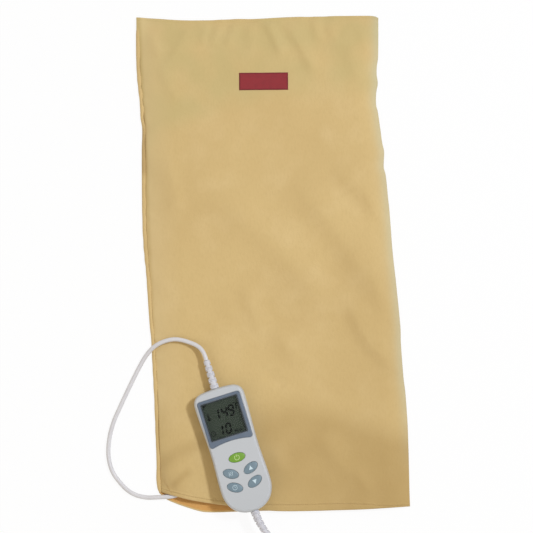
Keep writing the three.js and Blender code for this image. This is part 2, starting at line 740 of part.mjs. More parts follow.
// A case half as a shell with a stepped rim: rims are [inset, height] rows between its inner and outer wall
const caseShell = (wallShares, edgeInset, from, to, rims) => {
  const toward = Math.sign(to - from);
  const outer = wallShares.map(([inset, height]) => [inset * edgeInset, mix(from, to, height)]);
  const inner = wallShares.map(([inset, height]) => [
    inset * edgeInset + caseWall,
    mix(from, to - toward * caseWall, height),
  ]);
  const rows = [...inner.slice(1).toReversed(), ...rims, ...outer.slice(1)];
  const ordered = toward > 0 ? rows : rows.toReversed();
  return loft(ordered.map(([inset]) => insetOutline(inset)), (point, k) => (
    new THREE.Vector3(point.x, point.y, ordered[k][1])));
};
const lipInset = caseWall / 2;
const upperRims = [
  [caseWall, partHeight + lipHeight + layerGap], [lipInset, partHeight + lipHeight + layerGap],
  [lipInset, partHeight], [0, partHeight],
];
const lowerRims = [
  [caseWall, partHeight + lipHeight], [lipInset + layerGap, partHeight + lipHeight],
  [lipInset + layerGap, partHeight - layerGap], [0, partHeight - layerGap],
];

// Display opening and bezel outline
const bezelTopY = caseLength / 2 - bezelEndInset;
const bezelBottomY = bezelTopY - bezelLength;
const windowCentreY = bezelTopY - windowTopInset - windowLength / 2;
const bezelOutline = (grow) => {
  const halfWidth = bezelWidth / 2 + grow;
  const top = bezelTopY + grow;
  const bottom = bezelBottomY - grow;
  const corner = bezelCorner + grow;
  const shape = new THREE.Shape();
  shape.moveTo(bezelCentreX - halfWidth + corner, bottom);
  shape.quadraticCurveTo(bezelCentreX, bottom + 2 * bezelBow, bezelCentreX + halfWidth - corner, bottom);
  shape.quadraticCurveTo(bezelCentreX + halfWidth, bottom, bezelCentreX + halfWidth, bottom + corner);
  shape.lineTo(bezelCentreX + halfWidth, top - corner);
  shape.quadraticCurveTo(bezelCentreX + halfWidth, top, bezelCentreX + halfWidth - corner, top);
  shape.lineTo(bezelCentreX - halfWidth + corner, top);
  shape.quadraticCurveTo(bezelCentreX - halfWidth, top, bezelCentreX - halfWidth, top - corner);
  shape.lineTo(bezelCentreX - halfWidth, bottom + corner);
  shape.quadraticCurveTo(bezelCentreX - halfWidth, bottom, bezelCentreX - halfWidth + corner, bottom);
  return shape.getPoints(5).slice(0, -1);
};
const windowOutline = (grow) => roundedRectangle(
  windowWidth + 2 * grow,
  windowLength + 2 * grow,
  Math.max(windowCorner + grow, layerGap),
  2,
).map((point) => new THREE.Vector2(point.x + windowCentreX, point.y + windowCentreY));

const bezelZ = caseHeight + bezelProud - bezelThickness;
const wellFloorZ = bezelZ - layerGap;
const wellZ = wellFloorZ - wellThickness;
const ceilingZ = caseHeight - caseWall;
const displayZ = wellZ - layerGap - displayThickness;
const lightZ = displayZ - layerGap - lightThickness;
const boardTopZ = lightZ - layerGap;
const boardZ = boardTopZ - boardThickness;
const matZ = boardTopZ + layerGap;
const flangeTopZ = ceilingZ - layerGap;
const flangeZ = flangeTopZ - keyFlangeThickness;
const plungerZ = flangeZ - keyPlungerLength;
const domeTopZ = plungerZ - keyTravel - 2 * layerGap;
const capTopZ = caseHeight + keyProud;

const inCase = ([shareX, shareY]) => [shareX * caseWidth, shareY * caseLength];
const screwPlaces = screwPlaceShares.map(inCase);
const powerKeyY = bezelBottomY - powerKeyDrop;
const firstRowY = powerKeyY - firstRowDrop;
const secondRowY = firstRowY - secondRowDrop;
const keys = [
  { name: 'key_power', place: [0, powerKeyY], turn: 0, length: powerKeyLength },
  { name: 'key_heat', place: [leftKeyX, firstRowY], turn: leftKeyTurn, length: keyLength },
  { name: 'key_timer', place: [leftKeyX, secondRowY], turn: leftKeyTurn, length: keyLength },
  { name: 'key_up', place: [rightKeyX, firstRowY], turn: rightKeyTurn, length: keyLength },
  { name: 'key_down', place: [rightKeyX, secondRowY], turn: rightKeyTurn, length: keyLength },
];
const boardTopY = caseLength / 2 - boardTopInset;
const boardBottomY = boardBottomInset - caseLength / 2;
const boardY = (boardTopY + boardBottomY) / 2;
const onBoard = ([shareX, shareY]) => [shareX * boardWidth, boardY + shareY * (boardTopY - boardBottomY)];

// Holes in both case halves where the strain reliefs leave along Y
const endHole = (x, side) => {
  const hole = new THREE.CylinderGeometry(
    reliefNeckDiameter / 2 + layerGap,
    reliefNeckDiameter / 2 + layerGap,
    caseWall + 4 * overrun,
    reliefSides * 2,
  );
  return moved(hole, x, side * (caseLength / 2 - caseWall / 2), partHeight);
};
const endHoles = [endHole(upperReliefX, 1), endHole(lowerReliefX, -1)];

// Upper case: shell with the display's well, the key openings and the screw posts
const postZ = partHeight + layerGap;
const screwTopZ = screwHeadDepth + screwHeadHeight + screwLength;
const upperCase = () => {
  const shell = caseShell(upperWallShares, upperEdgeInset, partHeight, caseHeight, upperRims);
  const ledge = moved(plate(bezelOutline(wellLedge), wellFloorZ - wellZ), 0, 0, wellZ);
  const postHeight = ceilingZ + overrun - postZ;
  const posts = screwPlaces.map(([x, y]) => moved(upright(postDiameter, postHeight), x, y, postZ));
  const pocket = moved(plate(bezelOutline(layerGap), caseHeight), 0, 0, wellFloorZ);
  const opening = moved(plate(windowOutline(-lensLedge), caseHeight), 0, 0, wellZ - overrun);
  const pilots = screwPlaces.map(([x, y]) => {
    const depth = screwTopZ + layerGap - postZ + overrun;
    return moved(upright(screwShankDiameter + 2 * layerGap, depth), x, y, postZ - overrun);
  });
  const keyHoles = keys.map(({ place, turn, length }) => {
    const outline = ellipse(length / 2 + keyClearance, keyWidth / 2 + keyClearance, keySides);
    return moved(plate(outline, caseHeight), ...place, ceilingZ - overrun, radians(turn));
  });
  return cutAndJoin(shell, [ledge, ...posts], [pocket, opening, ...pilots, ...keyHoles, ...endHoles]);
};
addPiece('upper_case', upperCase(), casePlastic, handControl);

// Lower case: shell with screw bosses and the board's standoffs
const lowerCase = () => {
  const shell = caseShell(lowerWallShares, lowerEdgeInset, partHeight, 0, lowerRims);
  const rootZ = caseWall / 2;
  const bosses = screwPlaces.map(([x, y]) => (
    moved(upright(bossDiameter, partHeight - layerGap - rootZ, 20), x, y, rootZ)));
  const standoffX = boardWidth / 2 - standoffSideInset;
  const standoffRows = [boardTopY - standoffEndInset, boardBottomY + standoffEndInset];
  const standoffs = standoffRows.flatMap((y) => [-standoffX, standoffX].map((x) => (
    moved(upright(standoffDiameter, boardZ - layerGap - rootZ, 12), x, y, rootZ))));
  const headHoleHeight = screwHeadDepth + screwHeadHeight + layerGap + overrun;
  const headHoles = screwPlaces.map(([x, y]) => (
    moved(upright(screwHeadDiameter + 2 * layerGap, headHoleHeight), x, y, -overrun)));
  const shankHoles = screwPlaces.map(([x, y]) => (
    moved(upright(screwShankDiameter + 2 * layerGap, partHeight + overrun), x, y, 0)));
  return cutAndJoin(shell, [...bosses, ...standoffs], [...headHoles, ...shankHoles, ...endHoles]);
};
addPiece('lower_case', lowerCase(), casePlastic, handControl);

// Screws: a pan head with a plain shank, head down in the lower case
const screwProfile = [
  [0, 0], [screwHeadDiameter / 2 - layerGap, 0], [screwHeadDiameter / 2, screwHeadHeight / 2],
  [screwHeadDiameter / 2, screwHeadHeight], [screwShankDiameter / 2, screwHeadHeight],
  [screwShankDiameter / 2, screwHeadHeight + screwLength - screwShankDiameter / 2],
  [0, screwHeadHeight + screwLength],
].map(([x, y]) => new THREE.Vector2(x, y));
screwPlaces.forEach(([x, y], i) => {
  const screw = new THREE.LatheGeometry(screwProfile, 12);
  screw.rotateX(Math.PI / 2);
  addPiece(`case_screw_${i + 1}`, moved(screw, x, y, screwHeadDepth), steel, handControl);
});

// Display: bezel, lens, liquid crystal panel and light guide
const bezelWindow = windowOutline(layerGap).reverse();
const bezel = plate(bezelOutline(0), bezelThickness, [bezelWindow]);
addPiece('display_bezel', moved(bezel, 0, 0, bezelZ), bezelPlastic, handControl);
const lens = plate(windowOutline(0), lensThickness);
addPiece('display_lens', moved(lens, 0, 0, bezelZ), lensClear, handControl);
const displayBlock = block(displayWidth, displayLength, displayThickness);
const displayPanel = moved(displayBlock, windowCentreX, windowCentreY, displayZ);
addPiece('display_panel', displayPanel, displayGlass, handControl);
const lightBlock = block(lightWidth, lightLength, lightThickness);
const lightGuide = moved(lightBlock, windowCentreX, windowCentreY, lightZ);
addPiece('display_light_guide', lightGuide, vinyl, handControl);

// Circuit board and what hangs below it
const board = moved(block(boardWidth, boardTopY - boardBottomY, boardThickness), 0, boardY, boardZ);
addPiece('circuit_board', board, boardGreen, handControl);
const underBoard = (size, placeShares) => moved(
  block(...size),
  ...onBoard(placeShares),
  boardZ - layerGap - size[2],
);
addPiece('power_relay', underBoard(relaySize, relayPlaceShares), darkPlastic, handControl);
addPiece('dropper_capacitor', underBoard(capacitorSize, capacitorPlaceShares), bezelPlastic, handControl);
addPiece('controller_chip', underBoard(chipSize, chipPlaceShares), darkPlastic, handControl);
const buzzerZ = boardZ - layerGap - buzzerHeight;
const buzzer = moved(upright(buzzerDiameter, buzzerHeight, 20), ...onBoard(buzzerPlaceShares), buzzerZ);
addPiece('buzzer', buzzer, darkPlastic, handControl);
const fuseRadius = boardFuseDiameter / 2;
const boardFuse = new THREE.CylinderGeometry(fuseRadius, fuseRadius, boardFuseLength, 14);
const boardFuseZ = boardZ - layerGap - fuseRadius;
addPiece('board_fuse', moved(boardFuse, ...onBoard(boardFusePlaceShares), boardFuseZ), steel, handControl);

// Key mat: a silicone sheet with a dome under each key
const keyMat = () => {
  const keyRows = keys.map(({ place }) => place[1]);
  const top = Math.max(...keyRows) + keyWidth / 2 + matTopMargin;
  const bottom = Math.min(...keyRows) - keyWidth / 2 - matBottomMargin;
  const base = moved(block(matWidth, top - bottom, matThickness), 0, (top + bottom) / 2, matZ);
  const rootZ = matZ + matThickness / 2;
  const domes = keys.map(({ place }) => moved(upright(domeDiameter, domeTopZ - rootZ), ...place, rootZ));
  return cutAndJoin(base, domes, []);
};
addPiece('key_mat', keyMat(), silicone, handControl);

// Keys: a crowned oval cap, a flange under the case and a plunger over the mat's dome
keys.forEach(({ name, place, turn, length }) => {
  const oval = (grow) => ellipse(length / 2 + grow, keyWidth / 2 + grow, keySides);
  const plunger = ellipse(keyPlungerDiameter / 2, keyPlungerDiameter / 2, keySides);
  const rows = [
    [plunger, plungerZ], [plunger, flangeZ], [oval(keyFlange), flangeZ], [oval(keyFlange), flangeTopZ],
    [oval(0), flangeTopZ], [oval(0), capTopZ - keyCrown], [oval(-keyCrown), capTopZ - keyCrown / 3],
    [oval(-3 * keyCrown), capTopZ],
  ];
  const cap = loft(rows.map(([section]) => section), (point, k) => (
    new THREE.Vector3(point.x, point.y, rows[k][1])));
  const material = name === 'key_power' ? keyGreen : keyBlue;
  addPiece(name, moved(cap, ...place, 0, radians(turn)), material, handControl);
});

// Strain reliefs: a flange inside the case, a neck through its wall and a ribbed boot tapering to the lead
const reliefSections = (path, length, inward) => {
  const rows = [
    [-caseWall - reliefFlangeSeat - reliefFlangeThickness, reliefFlangeDiameter / 2],
    [-caseWall - reliefFlangeSeat, reliefFlangeDiameter / 2],
    [-caseWall - reliefFlangeSeat, reliefNeckDiameter / 2],
    [0, reliefNeckDiameter / 2],
  ];
  const ribbed = length - leadDiameter;
  const pitch = ribbed / ribs;
  const bootRadius = (s) => mix(reliefBaseDiameter, reliefTipDiameter, s / length) / 2;
  for (let rib = 0; rib < ribs; rib += 1) {
    const start = rib * pitch;
    ribShares.forEach(([share, depth]) => {
      const s = start + share * pitch;
      rows.push([s, bootRadius(s) - depth * ribDepth]);
    });
  }
  rows.push([ribbed, bootRadius(ribbed)], [length, bootRadius(length)]);
  const points = rows.map(([s]) => (
    s <= 0 ? path.getPointAt(0).addScaledVector(inward, -s) : path.getPointAt(s / length)));
  return { points, radii: rows.map(([, radius]) => radius) };
};
const reliefStartY = caseLength / 2 + layerGap;
const upperReliefPath = new THREE.LineCurve3(
  new THREE.Vector3(upperReliefX, reliefStartY, partHeight),
  new THREE.Vector3(upperReliefX, reliefStartY + upperReliefLength, partHeight),
);
const lowerReliefPath = new THREE.QuadraticBezierCurve3(
  new THREE.Vector3(lowerReliefX, -reliefStartY, partHeight),
  new THREE.Vector3(lowerReliefX, -reliefStartY - lowerReliefLength / 2, partHeight),
  new THREE.Vector3(lowerReliefX + lowerReliefBend, -reliefStartY - lowerReliefLength, partHeight),
);
[['upper_strain_relief', upperReliefPath, new THREE.Vector3(0, -1, 0)],
  ['lower_strain_relief', lowerReliefPath, new THREE.Vector3(0, 1, 0)]].forEach(([name, path, inward]) => {
  const { points, radii } = reliefSections(path, path.getLength(), inward);
  addPiece(name, tubeThrough(points, (i) => radii[i], reliefSides), silicone, handControl);
});

// Lead cores inside the case, from each strain relief to the underside of the board
const leadCores = (name, x, side, offsets) => offsets.forEach((offset, i) => {
  const reach = caseLength / 2 - caseWall - reliefFlangeSeat - reliefFlangeThickness;
  const boardEnd = side > 0 ? boardTopY : -boardBottomY;
  const coreZ = boardZ - layerGap - coreDiameter / 2;
  const points = [
    [reach, partHeight],
    [mix(reach, boardEnd, coreBendShare), partHeight],
    [boardEnd, coreZ],
    [boardEnd - standoffDiameter, coreZ],
  ].map(([y, z]) => new THREE.Vector3(x + offset, side * y, z));
  addPiece(`${name}_${i + 1}`, tubeThrough(points, () => coreDiameter / 2, 6), copper, handControl);
});
leadCores('pad_lead_core', upperReliefX, 1, [-coreSpacing, 0, coreSpacing]);
leadCores('mains_lead_core', lowerReliefX, -1, [-coreSpacing / 2, coreSpacing / 2]);

handControl.position.set(
  casePlaceShares[0] * coverWidth,
  casePlaceShares[1] * coverLength,
  coverTopZ + layerGap,
);
handControl.rotation.z = radians(caseTurn);
model.add(handControl);

// Leads that lie free
const lead = (points, steps) => {
  const route = new THREE.CatmullRomCurve3(points.map((point) => new THREE.Vector3(...point)));
  const section = new THREE.Shape(ellipse(leadDiameter / 2, leadDiameter / 2, leadSides));
  return new THREE.ExtrudeGeometry(section, { steps, extrudePath: route, curveSegments: leadSides });
};
addPiece('pad_lead', lead(padLeadPoints, 44), leadPlastic);
addPiece('mains_lead', lead(mainsRunPoints, 12), leadPlastic);
addPiece('mains_lead_tail', lead(mainsTailPoints, 8), leadPlastic);

// Coil: spirals in and out again, and climbs a layer in the half turn where it reverses
const coilInnerRadius = coilMeanRadius - (turnsPerLayer / 2) * coilRadialPitch;
const coilZ = tieThickness + layerGap + leadDiameter / 2;
const coilPoint = (turns) => {
  const layer = Math.min(Math.floor(turns / turnsPerLayer), coilLayers - 1);
  const within = turns - layer * turnsPerLayer;
  const inward = layer % 2 === 0;
  const fromInner = (inward ? turnsPerLayer - within : within) * coilRadialPitch;
  const joint = Math.round(turns / turnsPerLayer);
  const fromJoint = turns - joint * turnsPerLayer;
  const climbs = joint > 0 && joint < coilLayers && Math.abs(fromJoint) < climbTurns / 2;
  const height = climbs ? joint - 0.5 + fromJoint / climbTurns : layer;
  const angle = radians(coilStartAngle) + turns * 2 * Math.PI;
  const radius = coilInnerRadius + fromInner;
  return new THREE.Vector3(
    coilCentre[0] + radius * Math.cos(angle),
    coilCentre[1] + radius * Math.sin(angle),
    coilZ + height * coilLayerPitch,
  );
};
const coilTurns = coilLayers * turnsPerLayer;
const coilRoute = (stepsEach) => {
  const count = coilTurns * stepsEach;
  const points = Array.from({ length: count + 1 }, (_, i) => coilPoint(i / stepsEach));
  const tangentAt = (turns) => {
    const angle = radians(coilStartAngle) + turns * 2 * Math.PI;
    return new THREE.Vector3(-Math.sin(angle), Math.cos(angle), 0);
  };
  const first = points[0].clone().addScaledVector(tangentAt(0), -leadDiameter);
  const last = points.at(-1).clone().addScaledVector(tangentAt(coilTurns), leadDiameter);
  return [first, ...points, last];
};
const leastGap = (points, apart) => {
  let least = Infinity;
  points.forEach((point, i) => {
    for (let j = i + apart; j < points.length; j += 1) least = Math.min(least, point.distanceTo(points[j]));
  });
  return least - leadDiameter;
};
const lengthOf = (points) => (
  points.slice(1).reduce((sum, point, i) => sum + point.distanceTo(points[i]), 0));
const finePoints = coilRoute(stepsPerTurn * 4);
console.log('coil: least gap', leastGap(finePoints, stepsPerTurn * 2).toFixed(2), 'mm');
const mainsRunLength = lengthOf(mainsRunPoints.map((point) => new THREE.Vector3(...point)));
const mainsTailLength = lengthOf(mainsTailPoints.map((point) => new THREE.Vector3(...point)));
const padLeadLength = lengthOf(padLeadPoints.map((point) => new THREE.Vector3(...point)));
console.log('mains lead', (mainsRunLength + mainsTailLength + lengthOf(finePoints)).toFixed(0), 'mm');
console.log('pad lead', padLeadLength.toFixed(0), 'mm');
const coil = tubeThrough(coilRoute(stepsPerTurn), () => leadDiameter / 2, coilSides);
addPiece('mains_lead_coil', coil, leadPlastic);

// Tie round the coil
const coilTie = () => {
  const span = turnsPerLayer * coilRadialPitch + leadDiameter + 2 * tieClearance;
  const innerTop = coilZ + (coilLayers - 1) * coilLayerPitch + leadDiameter / 2 + tieClearance;
  const frame = (halfWidth, low, high, corner) => roundedRectangle(2 * halfWidth, high - low, corner, 3)
    .map((point) => new THREE.Vector2(point.x, point.y + (low + high) / 2));
  const outer = frame(span / 2 + tieThickness, 0, innerTop + tieThickness, leadDiameter / 2);
  const inner = frame(span / 2, tieThickness, innerTop, leadDiameter / 2 - tieThickness).reverse();
  const strip = plate(outer, tieWidth, [inner]);
  strip.rotateX(Math.PI / 2);
  strip.translate(coilMeanRadius, tieWidth / 2, 0);
  return moved(strip, ...coilCentre, 0, radians(tieAngle));
};
addPiece('coil_tie', coilTie(), strap);

// Plug: a moulded body with its ribbed tail, and two blades seated in its face
const plugLength = plugReliefLength + plugBodyLength;
const plugSections = plugSectionShares.map(([, width, height]) => {
  const size = [width * plugWidth, height * plugHeight];
  return roundedRectangle(...size, Math.min(...size) * plugCornerShare, 3);
});
const plugShape = loft(plugSections, (point, k) => (
  new THREE.Vector3(plugSectionShares[k][0] * plugLength, point.x, point.y)));
const bladeSlot = (width, side) => {
  const opening = [bladeThickness + 2 * layerGap, width + 2 * layerGap];
  const slot = new THREE.BoxGeometry(bladeSeat + overrun, ...opening);
  return moved(slot, plugLength + (overrun - bladeSeat) / 2, side * (bladeSpacing / 2), 0);
};
const bladeSlots = [bladeSlot(narrowBladeWidth, -1), bladeSlot(wideBladeWidth, 1)];
const slottedPlug = cutAndJoin(plugShape, [], bladeSlots);
addPiece('plug_body', moved(slottedPlug, ...plugPlace), leadPlastic);
const blade = (width) => {
  const start = layerGap - bladeSeat;
  const outline = [
    [start, -width / 2], [bladeLength - width / 4, -width / 2], [bladeLength, -width / 4],
    [bladeLength, width / 4], [bladeLength - width / 4, width / 2], [start, width / 2],
  ].map(([x, y]) => new THREE.Vector2(x, y));
  const hole = ellipse(bladeHoleDiameter / 2, bladeHoleDiameter / 2, 12).reverse()
    .map((point) => new THREE.Vector2(point.x + bladeLength * bladeHoleShare, point.y));
  const strip = plate(outline, bladeThickness, [hole]);
  strip.rotateX(Math.PI / 2);
  return strip;
};
const placeBlade = (width, side) => moved(
  blade(width),
  plugPlace[0] + plugLength,
  plugPlace[1] + side * (bladeSpacing / 2) + bladeThickness / 2,
  plugPlace[2],
);
addPiece('plug_blade_narrow', placeBlade(narrowBladeWidth, -1), brass);
addPiece('plug_blade_wide', placeBlade(wideBladeWidth, 1), brass);

export default model;
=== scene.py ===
"""Looks of the moist heating pad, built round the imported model.

Lengths are millimetres until a mesh is made, except for the cords, which are metres as Blender is.
The cover's frame is the model's own. The hand control has its own frame, which hand_placed turns into
the model's. A shape is a pair of points and faces.
"""
import math

import bpy
import numpy as np
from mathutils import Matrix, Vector, noise


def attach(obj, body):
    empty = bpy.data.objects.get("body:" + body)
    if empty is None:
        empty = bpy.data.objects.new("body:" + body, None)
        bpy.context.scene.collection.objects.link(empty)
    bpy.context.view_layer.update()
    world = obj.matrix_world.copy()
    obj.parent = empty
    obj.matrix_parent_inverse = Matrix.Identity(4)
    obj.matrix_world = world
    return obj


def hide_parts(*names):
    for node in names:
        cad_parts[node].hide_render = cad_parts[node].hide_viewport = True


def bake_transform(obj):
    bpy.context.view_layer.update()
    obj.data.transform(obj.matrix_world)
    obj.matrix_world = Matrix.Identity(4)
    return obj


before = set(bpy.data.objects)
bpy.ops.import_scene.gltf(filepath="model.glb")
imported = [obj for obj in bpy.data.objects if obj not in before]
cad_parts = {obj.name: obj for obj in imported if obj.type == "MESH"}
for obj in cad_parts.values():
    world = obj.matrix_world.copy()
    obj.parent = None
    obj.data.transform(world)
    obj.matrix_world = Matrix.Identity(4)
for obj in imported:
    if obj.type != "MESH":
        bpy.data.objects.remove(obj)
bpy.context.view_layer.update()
MM = 0.001
full_turn = 2 * math.pi


# Camera, lamps and surroundings

scene = bpy.context.scene
scene.view_settings.view_transform = "Standard"


def linked(name, data):
    """New object in the scene."""
    obj = bpy.data.objects.new(name, data)
    scene.collection.objects.link(obj)
    return obj


camera_data = bpy.data.cameras.new("camera")
camera_data.sensor_width = 36
camera_data.lens = 96.42
camera_data.clip_end = 20
camera = linked("camera", camera_data)
scene.camera = camera
camera_target = Vector((-0.005, -0.013, 0))
camera_distance = 2.0
camera_azimuth = math.radians(-3.1)
camera_elevation = math.radians(84)
camera_back = Vector((
    math.sin(camera_azimuth) * math.cos(camera_elevation),
    -math.cos(camera_azimuth) * math.cos(camera_elevation),
    math.sin(camera_elevation),
))
camera.location = camera_target + camera_distance * camera_back
camera.rotation_euler = (-camera_back).to_track_quat("-Z", "Y").to_euler()


def lamp(name, place, size, power, colour):
    """Square lamp that faces the middle of the cover."""
    data = bpy.data.lights.new(name, "AREA")
    data.shape = "SQUARE"
    data.size = size
    data.energy = power
    data.color = colour
    obj = linked(name, data)
    obj.location = place
    obj.rotation_euler = (-Vector(place)).to_track_quat("-Z", "Y").to_euler()


lamp("key_lamp", (2.52, 1.0, 3.99), 0.54, 114, (0.92, 1.003, 1.14))
lamp("fill_lamp", (-1.3, -0.9, 1.7), 1.4, 5.5, (1.06, 0.99, 0.9))


def node(tree, kind, inputs, **settings):
    """New shader node. Each input is linked to a socket or set to a value."""
    made = tree.nodes.new("ShaderNode" + kind)
    for name, value in settings.items():
        setattr(made, name, value)
    for name, value in inputs.items():
        if isinstance(value, bpy.types.NodeSocket):
            tree.links.new(value, made.inputs[name])
        else:
            made.inputs[name].default_value = value
    return made


def seen_directly(tree):
    """Node output that is 1 for rays from the camera, from gloss and through glass."""
    path = node(tree, "LightPath", {}).outputs
    seen = path["Is Camera Ray"]
    for ray in ("Is Glossy Ray", "Is Transmission Ray"):
        seen = node(tree, "Math", {0: seen, 1: path[ray]}, operation="MAXIMUM").outputs[0]
    return seen


def end_in(tree, end, white_kind, share, under):
    """Ends tree in under, and to that share in plain white."""
    white = node(tree, white_kind, {"Color": (1, 1, 1, 1), "Strength": 1})
    mix = node(tree, "MixShader", {0: share, 1: under.outputs[0], 2: white.outputs[0]})
    node(tree, end, {"Surface": mix.outputs[0]})


def make_world(colour, strength):
    world = bpy.data.worlds.new("studio")
    scene.world = world
    world.use_nodes = True
    tree = world.node_tree
    tree.nodes.clear()
    ambient = node(tree, "Background", {"Color": colour, "Strength": strength})
    end_in(tree, "OutputWorld", "Background", seen_directly(tree), ambient)


def make_floor(colour, white_share, half, z):
    material = bpy.data.materials.new("floor_paper")
    material.use_nodes = True
    tree = material.node_tree
    tree.nodes.clear()
    paper = node(tree, "BsdfDiffuse", {"Color": colour})
    share = node(tree, "Math", {0: seen_directly(tree), 1: white_share}, operation="MULTIPLY").outputs[0]
    end_in(tree, "OutputMaterial", "Emission", share, paper)
    mesh = bpy.data.meshes.new("floor")
    corners = [(-half, -half, z), (half, -half, z), (half, half, z), (-half, half, z)]
    mesh.from_pydata(corners, [], [(0, 1, 2, 3)])
    mesh.materials.append(material)
    linked("floor", mesh)


make_world((1.04, 0.95, 0.82, 1), 0.52)
make_floor((0.95, 0.95, 0.96, 1), white_share=0.91, half=4, z=-0.0004)


# Materials

def linear(colour):
    """Linear colour from 0-255 display values."""
    parts = [value / 255 for value in colour]
    return tuple(p / 12.92 if p <= 0.04045 else ((p + 0.055) / 1.055) ** 2.4 for p in parts) + (1,)


class Finish:
    """Principled material, which takes layers of procedural colour, roughness and relief."""

    def __init__(self, name, colour, roughness, metallic=0.0, slot=None, **sockets):
        self.slot = slot or name
        self.material = bpy.data.materials.new(name)
        self.material.use_nodes = True
        self.material.diffuse_color = linear(colour)
        self.tree = self.material.node_tree
        self.shader = self.tree.nodes["Principled BSDF"]
        values = {"Base Color": linear(colour), "Roughness": roughness, "Metallic": metallic, **sockets}
        for socket, value in values.items():
            self.shader.inputs[socket.replace("_", " ")].default_value = value
        self.colour = linear(colour)
        self.normal = None
        self.coordinates = node(self.tree, "TexCoord", {}).outputs["Object"]

    def mapped(self, stretch=(1, 1, 1), turn=0.0):
        """Object coordinates stretched, and turned about Z."""
        inputs = {"Vector": self.coordinates, "Scale": stretch, "Rotation": (0, 0, math.radians(turn))}
        return node(self.tree, "Mapping", inputs).outputs[0]

    def grain(self, scale, detail, **turned):
        inputs = {"Vector": self.mapped(**turned), "Scale": scale, "Detail": detail}
        return node(self.tree, "TexNoise", inputs).outputs["Fac"]

    def bands(self, scale, direction="X", turn=0.0, distortion=0.0):
        """Even ribs."""
        inputs = {"Vector": self.mapped(turn=turn), "Scale": scale, "Distortion": distortion}
        return node(self.tree, "TexWave", inputs, bands_direction=direction).outputs["Fac"]

    def spread(self, value, **ends):
        """value with its range mapped."""
        return node(self.tree, "MapRange", {"Value": value, **ends}).outputs["Result"]

    def drive(self, socket, value):
        self.tree.links.new(value, self.shader.inputs[socket])
        return self

    def tint(self, value, colour, strength):
        """Mixes colour over what is there, where value is 1."""
        share = node(self.tree, "Math", {0: value, 1: strength}, operation="MULTIPLY").outputs[0]
        inputs = {"Factor": share, 6: self.colour, 7: linear(colour)}
        self.colour = node(self.tree, "Mix", inputs, data_type="RGBA").outputs[2]
        return self.drive("Base Color", self.colour)

    def tint_where(self, attribute, colour, strength):
        """Tint that follows an attribute of the mesh."""
        value = node(self.tree, "Attribute", {}, attribute_name=attribute).outputs["Fac"]
        return self.tint(value, colour, strength)

    def mottle(self, scale, colour, strength=0.5, low=0.45, high=0.75, detail=3, **turned):
        """Soft blotches of colour."""
        blotches = self.spread(self.grain(scale, detail, **turned), **{"From Min": low, "From Max": high})
        return self.tint(blotches, colour, strength)

    def relief(self, value, depth, strength):
        """Bump of that depth in millimetres."""
        inputs = {"Strength": strength, "Distance": depth * MM, "Height": value}
        if self.normal is not None:
            inputs["Normal"] = self.normal
        self.normal = node(self.tree, "Bump", inputs).outputs["Normal"]
        return self.drive("Normal", self.normal)

    def pits(self, scale, depth, strength=0.5, detail=2, **turned):
        """Uneven relief."""
        return self.relief(self.grain(scale, detail, **turned), depth, strength)

    def ribs(self, scale, depth, strength=0.6, **bands):
        """Even relief."""
        return self.relief(self.bands(scale, **bands), depth, strength)

    def dull(self, scale, low, high, detail=3, **turned):
        """Roughness that changes from low to high."""
        value = self.grain(scale, detail, **turned)
        return self.drive("Roughness", self.spread(value, **{"To Min": low, "To Max": high}))


def flannel_finish(name, colour, shade, light, slot=None):
    """Brushed cotton: soft blotches, short fibres both ways and a little sheen."""
    made = Finish(name, colour, 0.95, slot=slot, Sheen_Weight=0.18, Sheen_Roughness=0.55)
    made.mottle(7, shade, 0.38, 0.42, 0.72)
    made.mottle(26, light, 0.35, 0.48, 0.75, turn=30)
    made.mottle(420, shade, 0.3, 0.45, 0.8, 4, stretch=(1, 0.35, 1), turn=12)
    made.pits(260, 0.5, 0.35, 3)
    return made.pits(1300, 0.3, 0.5, 3, stretch=(1, 0.4, 1), turn=20)


def thread_finish(name, slot, colour, roughness=0.8):
    return Finish(name, colour, roughness, slot=slot).ribs(900, 0.1, turn=40)


flannel = flannel_finish("flannel", (212, 184, 127), (196, 166, 110), (223, 197, 144))
# Tints from the front's values: greenish and darker (tone and painted shade), painted shade, painted light
# and a pale painted sheen
flannel.tint_where("green_tone_and_shade", (192, 177, 120), 0.5).tint_where("painted_shade", (170, 139, 82), 0.8)
flannel.tint_where("painted_light", (232, 208, 158), 0.8).tint_where("painted_sheen", (196, 200, 174), 0.4)
hem_flannel = flannel_finish("hem_flannel", (212, 184, 128), (196, 167, 110), (222, 197, 144), "flannel")
# Painted shade on the rolled seam, where the seam's shade values ask for it
hem_flannel.tint_where("painted_shade", (150, 118, 68), 0.8)
# The back's orange inner side: partly the cloth's colour, partly painted shade and warm bounce light from
# inside the mouth
lining = flannel_finish("lining", (216, 164, 94), (194, 140, 74), (226, 180, 112))
lining.ribs(260, 0.2, 0.3, turn=45)
label_weave = Finish("label_weave", (146, 40, 47), 0.78, Sheen_Weight=0.05)
label_weave.tint_where("edge", (112, 30, 38), 0.85).mottle(160, (128, 36, 44))
label_weave.ribs(420, 0.25, direction="Y", turn=-3).ribs(500, 0.15, 0.5, turn=-3)
thread = thread_finish("thread", "flannel", (188, 160, 108))
seam_thread = thread_finish("seam_thread", "flannel", (201, 172, 119), 0.85)
label_thread = thread_finish("label_thread", "label_weave", (120, 38, 50))

vinyl = Finish("vinyl", (226, 221, 205), 0.42).mottle(18, (208, 202, 184), 0.5, 0.4, 0.7)
vinyl.pits(340, 0.15, detail=3)
felt = Finish("felt", (236, 233, 222), 1.0, Sheen_Weight=0.2).mottle(55, (214, 210, 196), 0.6, 0.42, 0.7, 4)
felt.pits(500, 0.5, 0.7, 4, stretch=(1, 0.3, 1), turn=35)
silicone = Finish("silicone", (206, 206, 212), 0.55).mottle(70, (190, 190, 198)).pits(900, 0.05, 0.6)

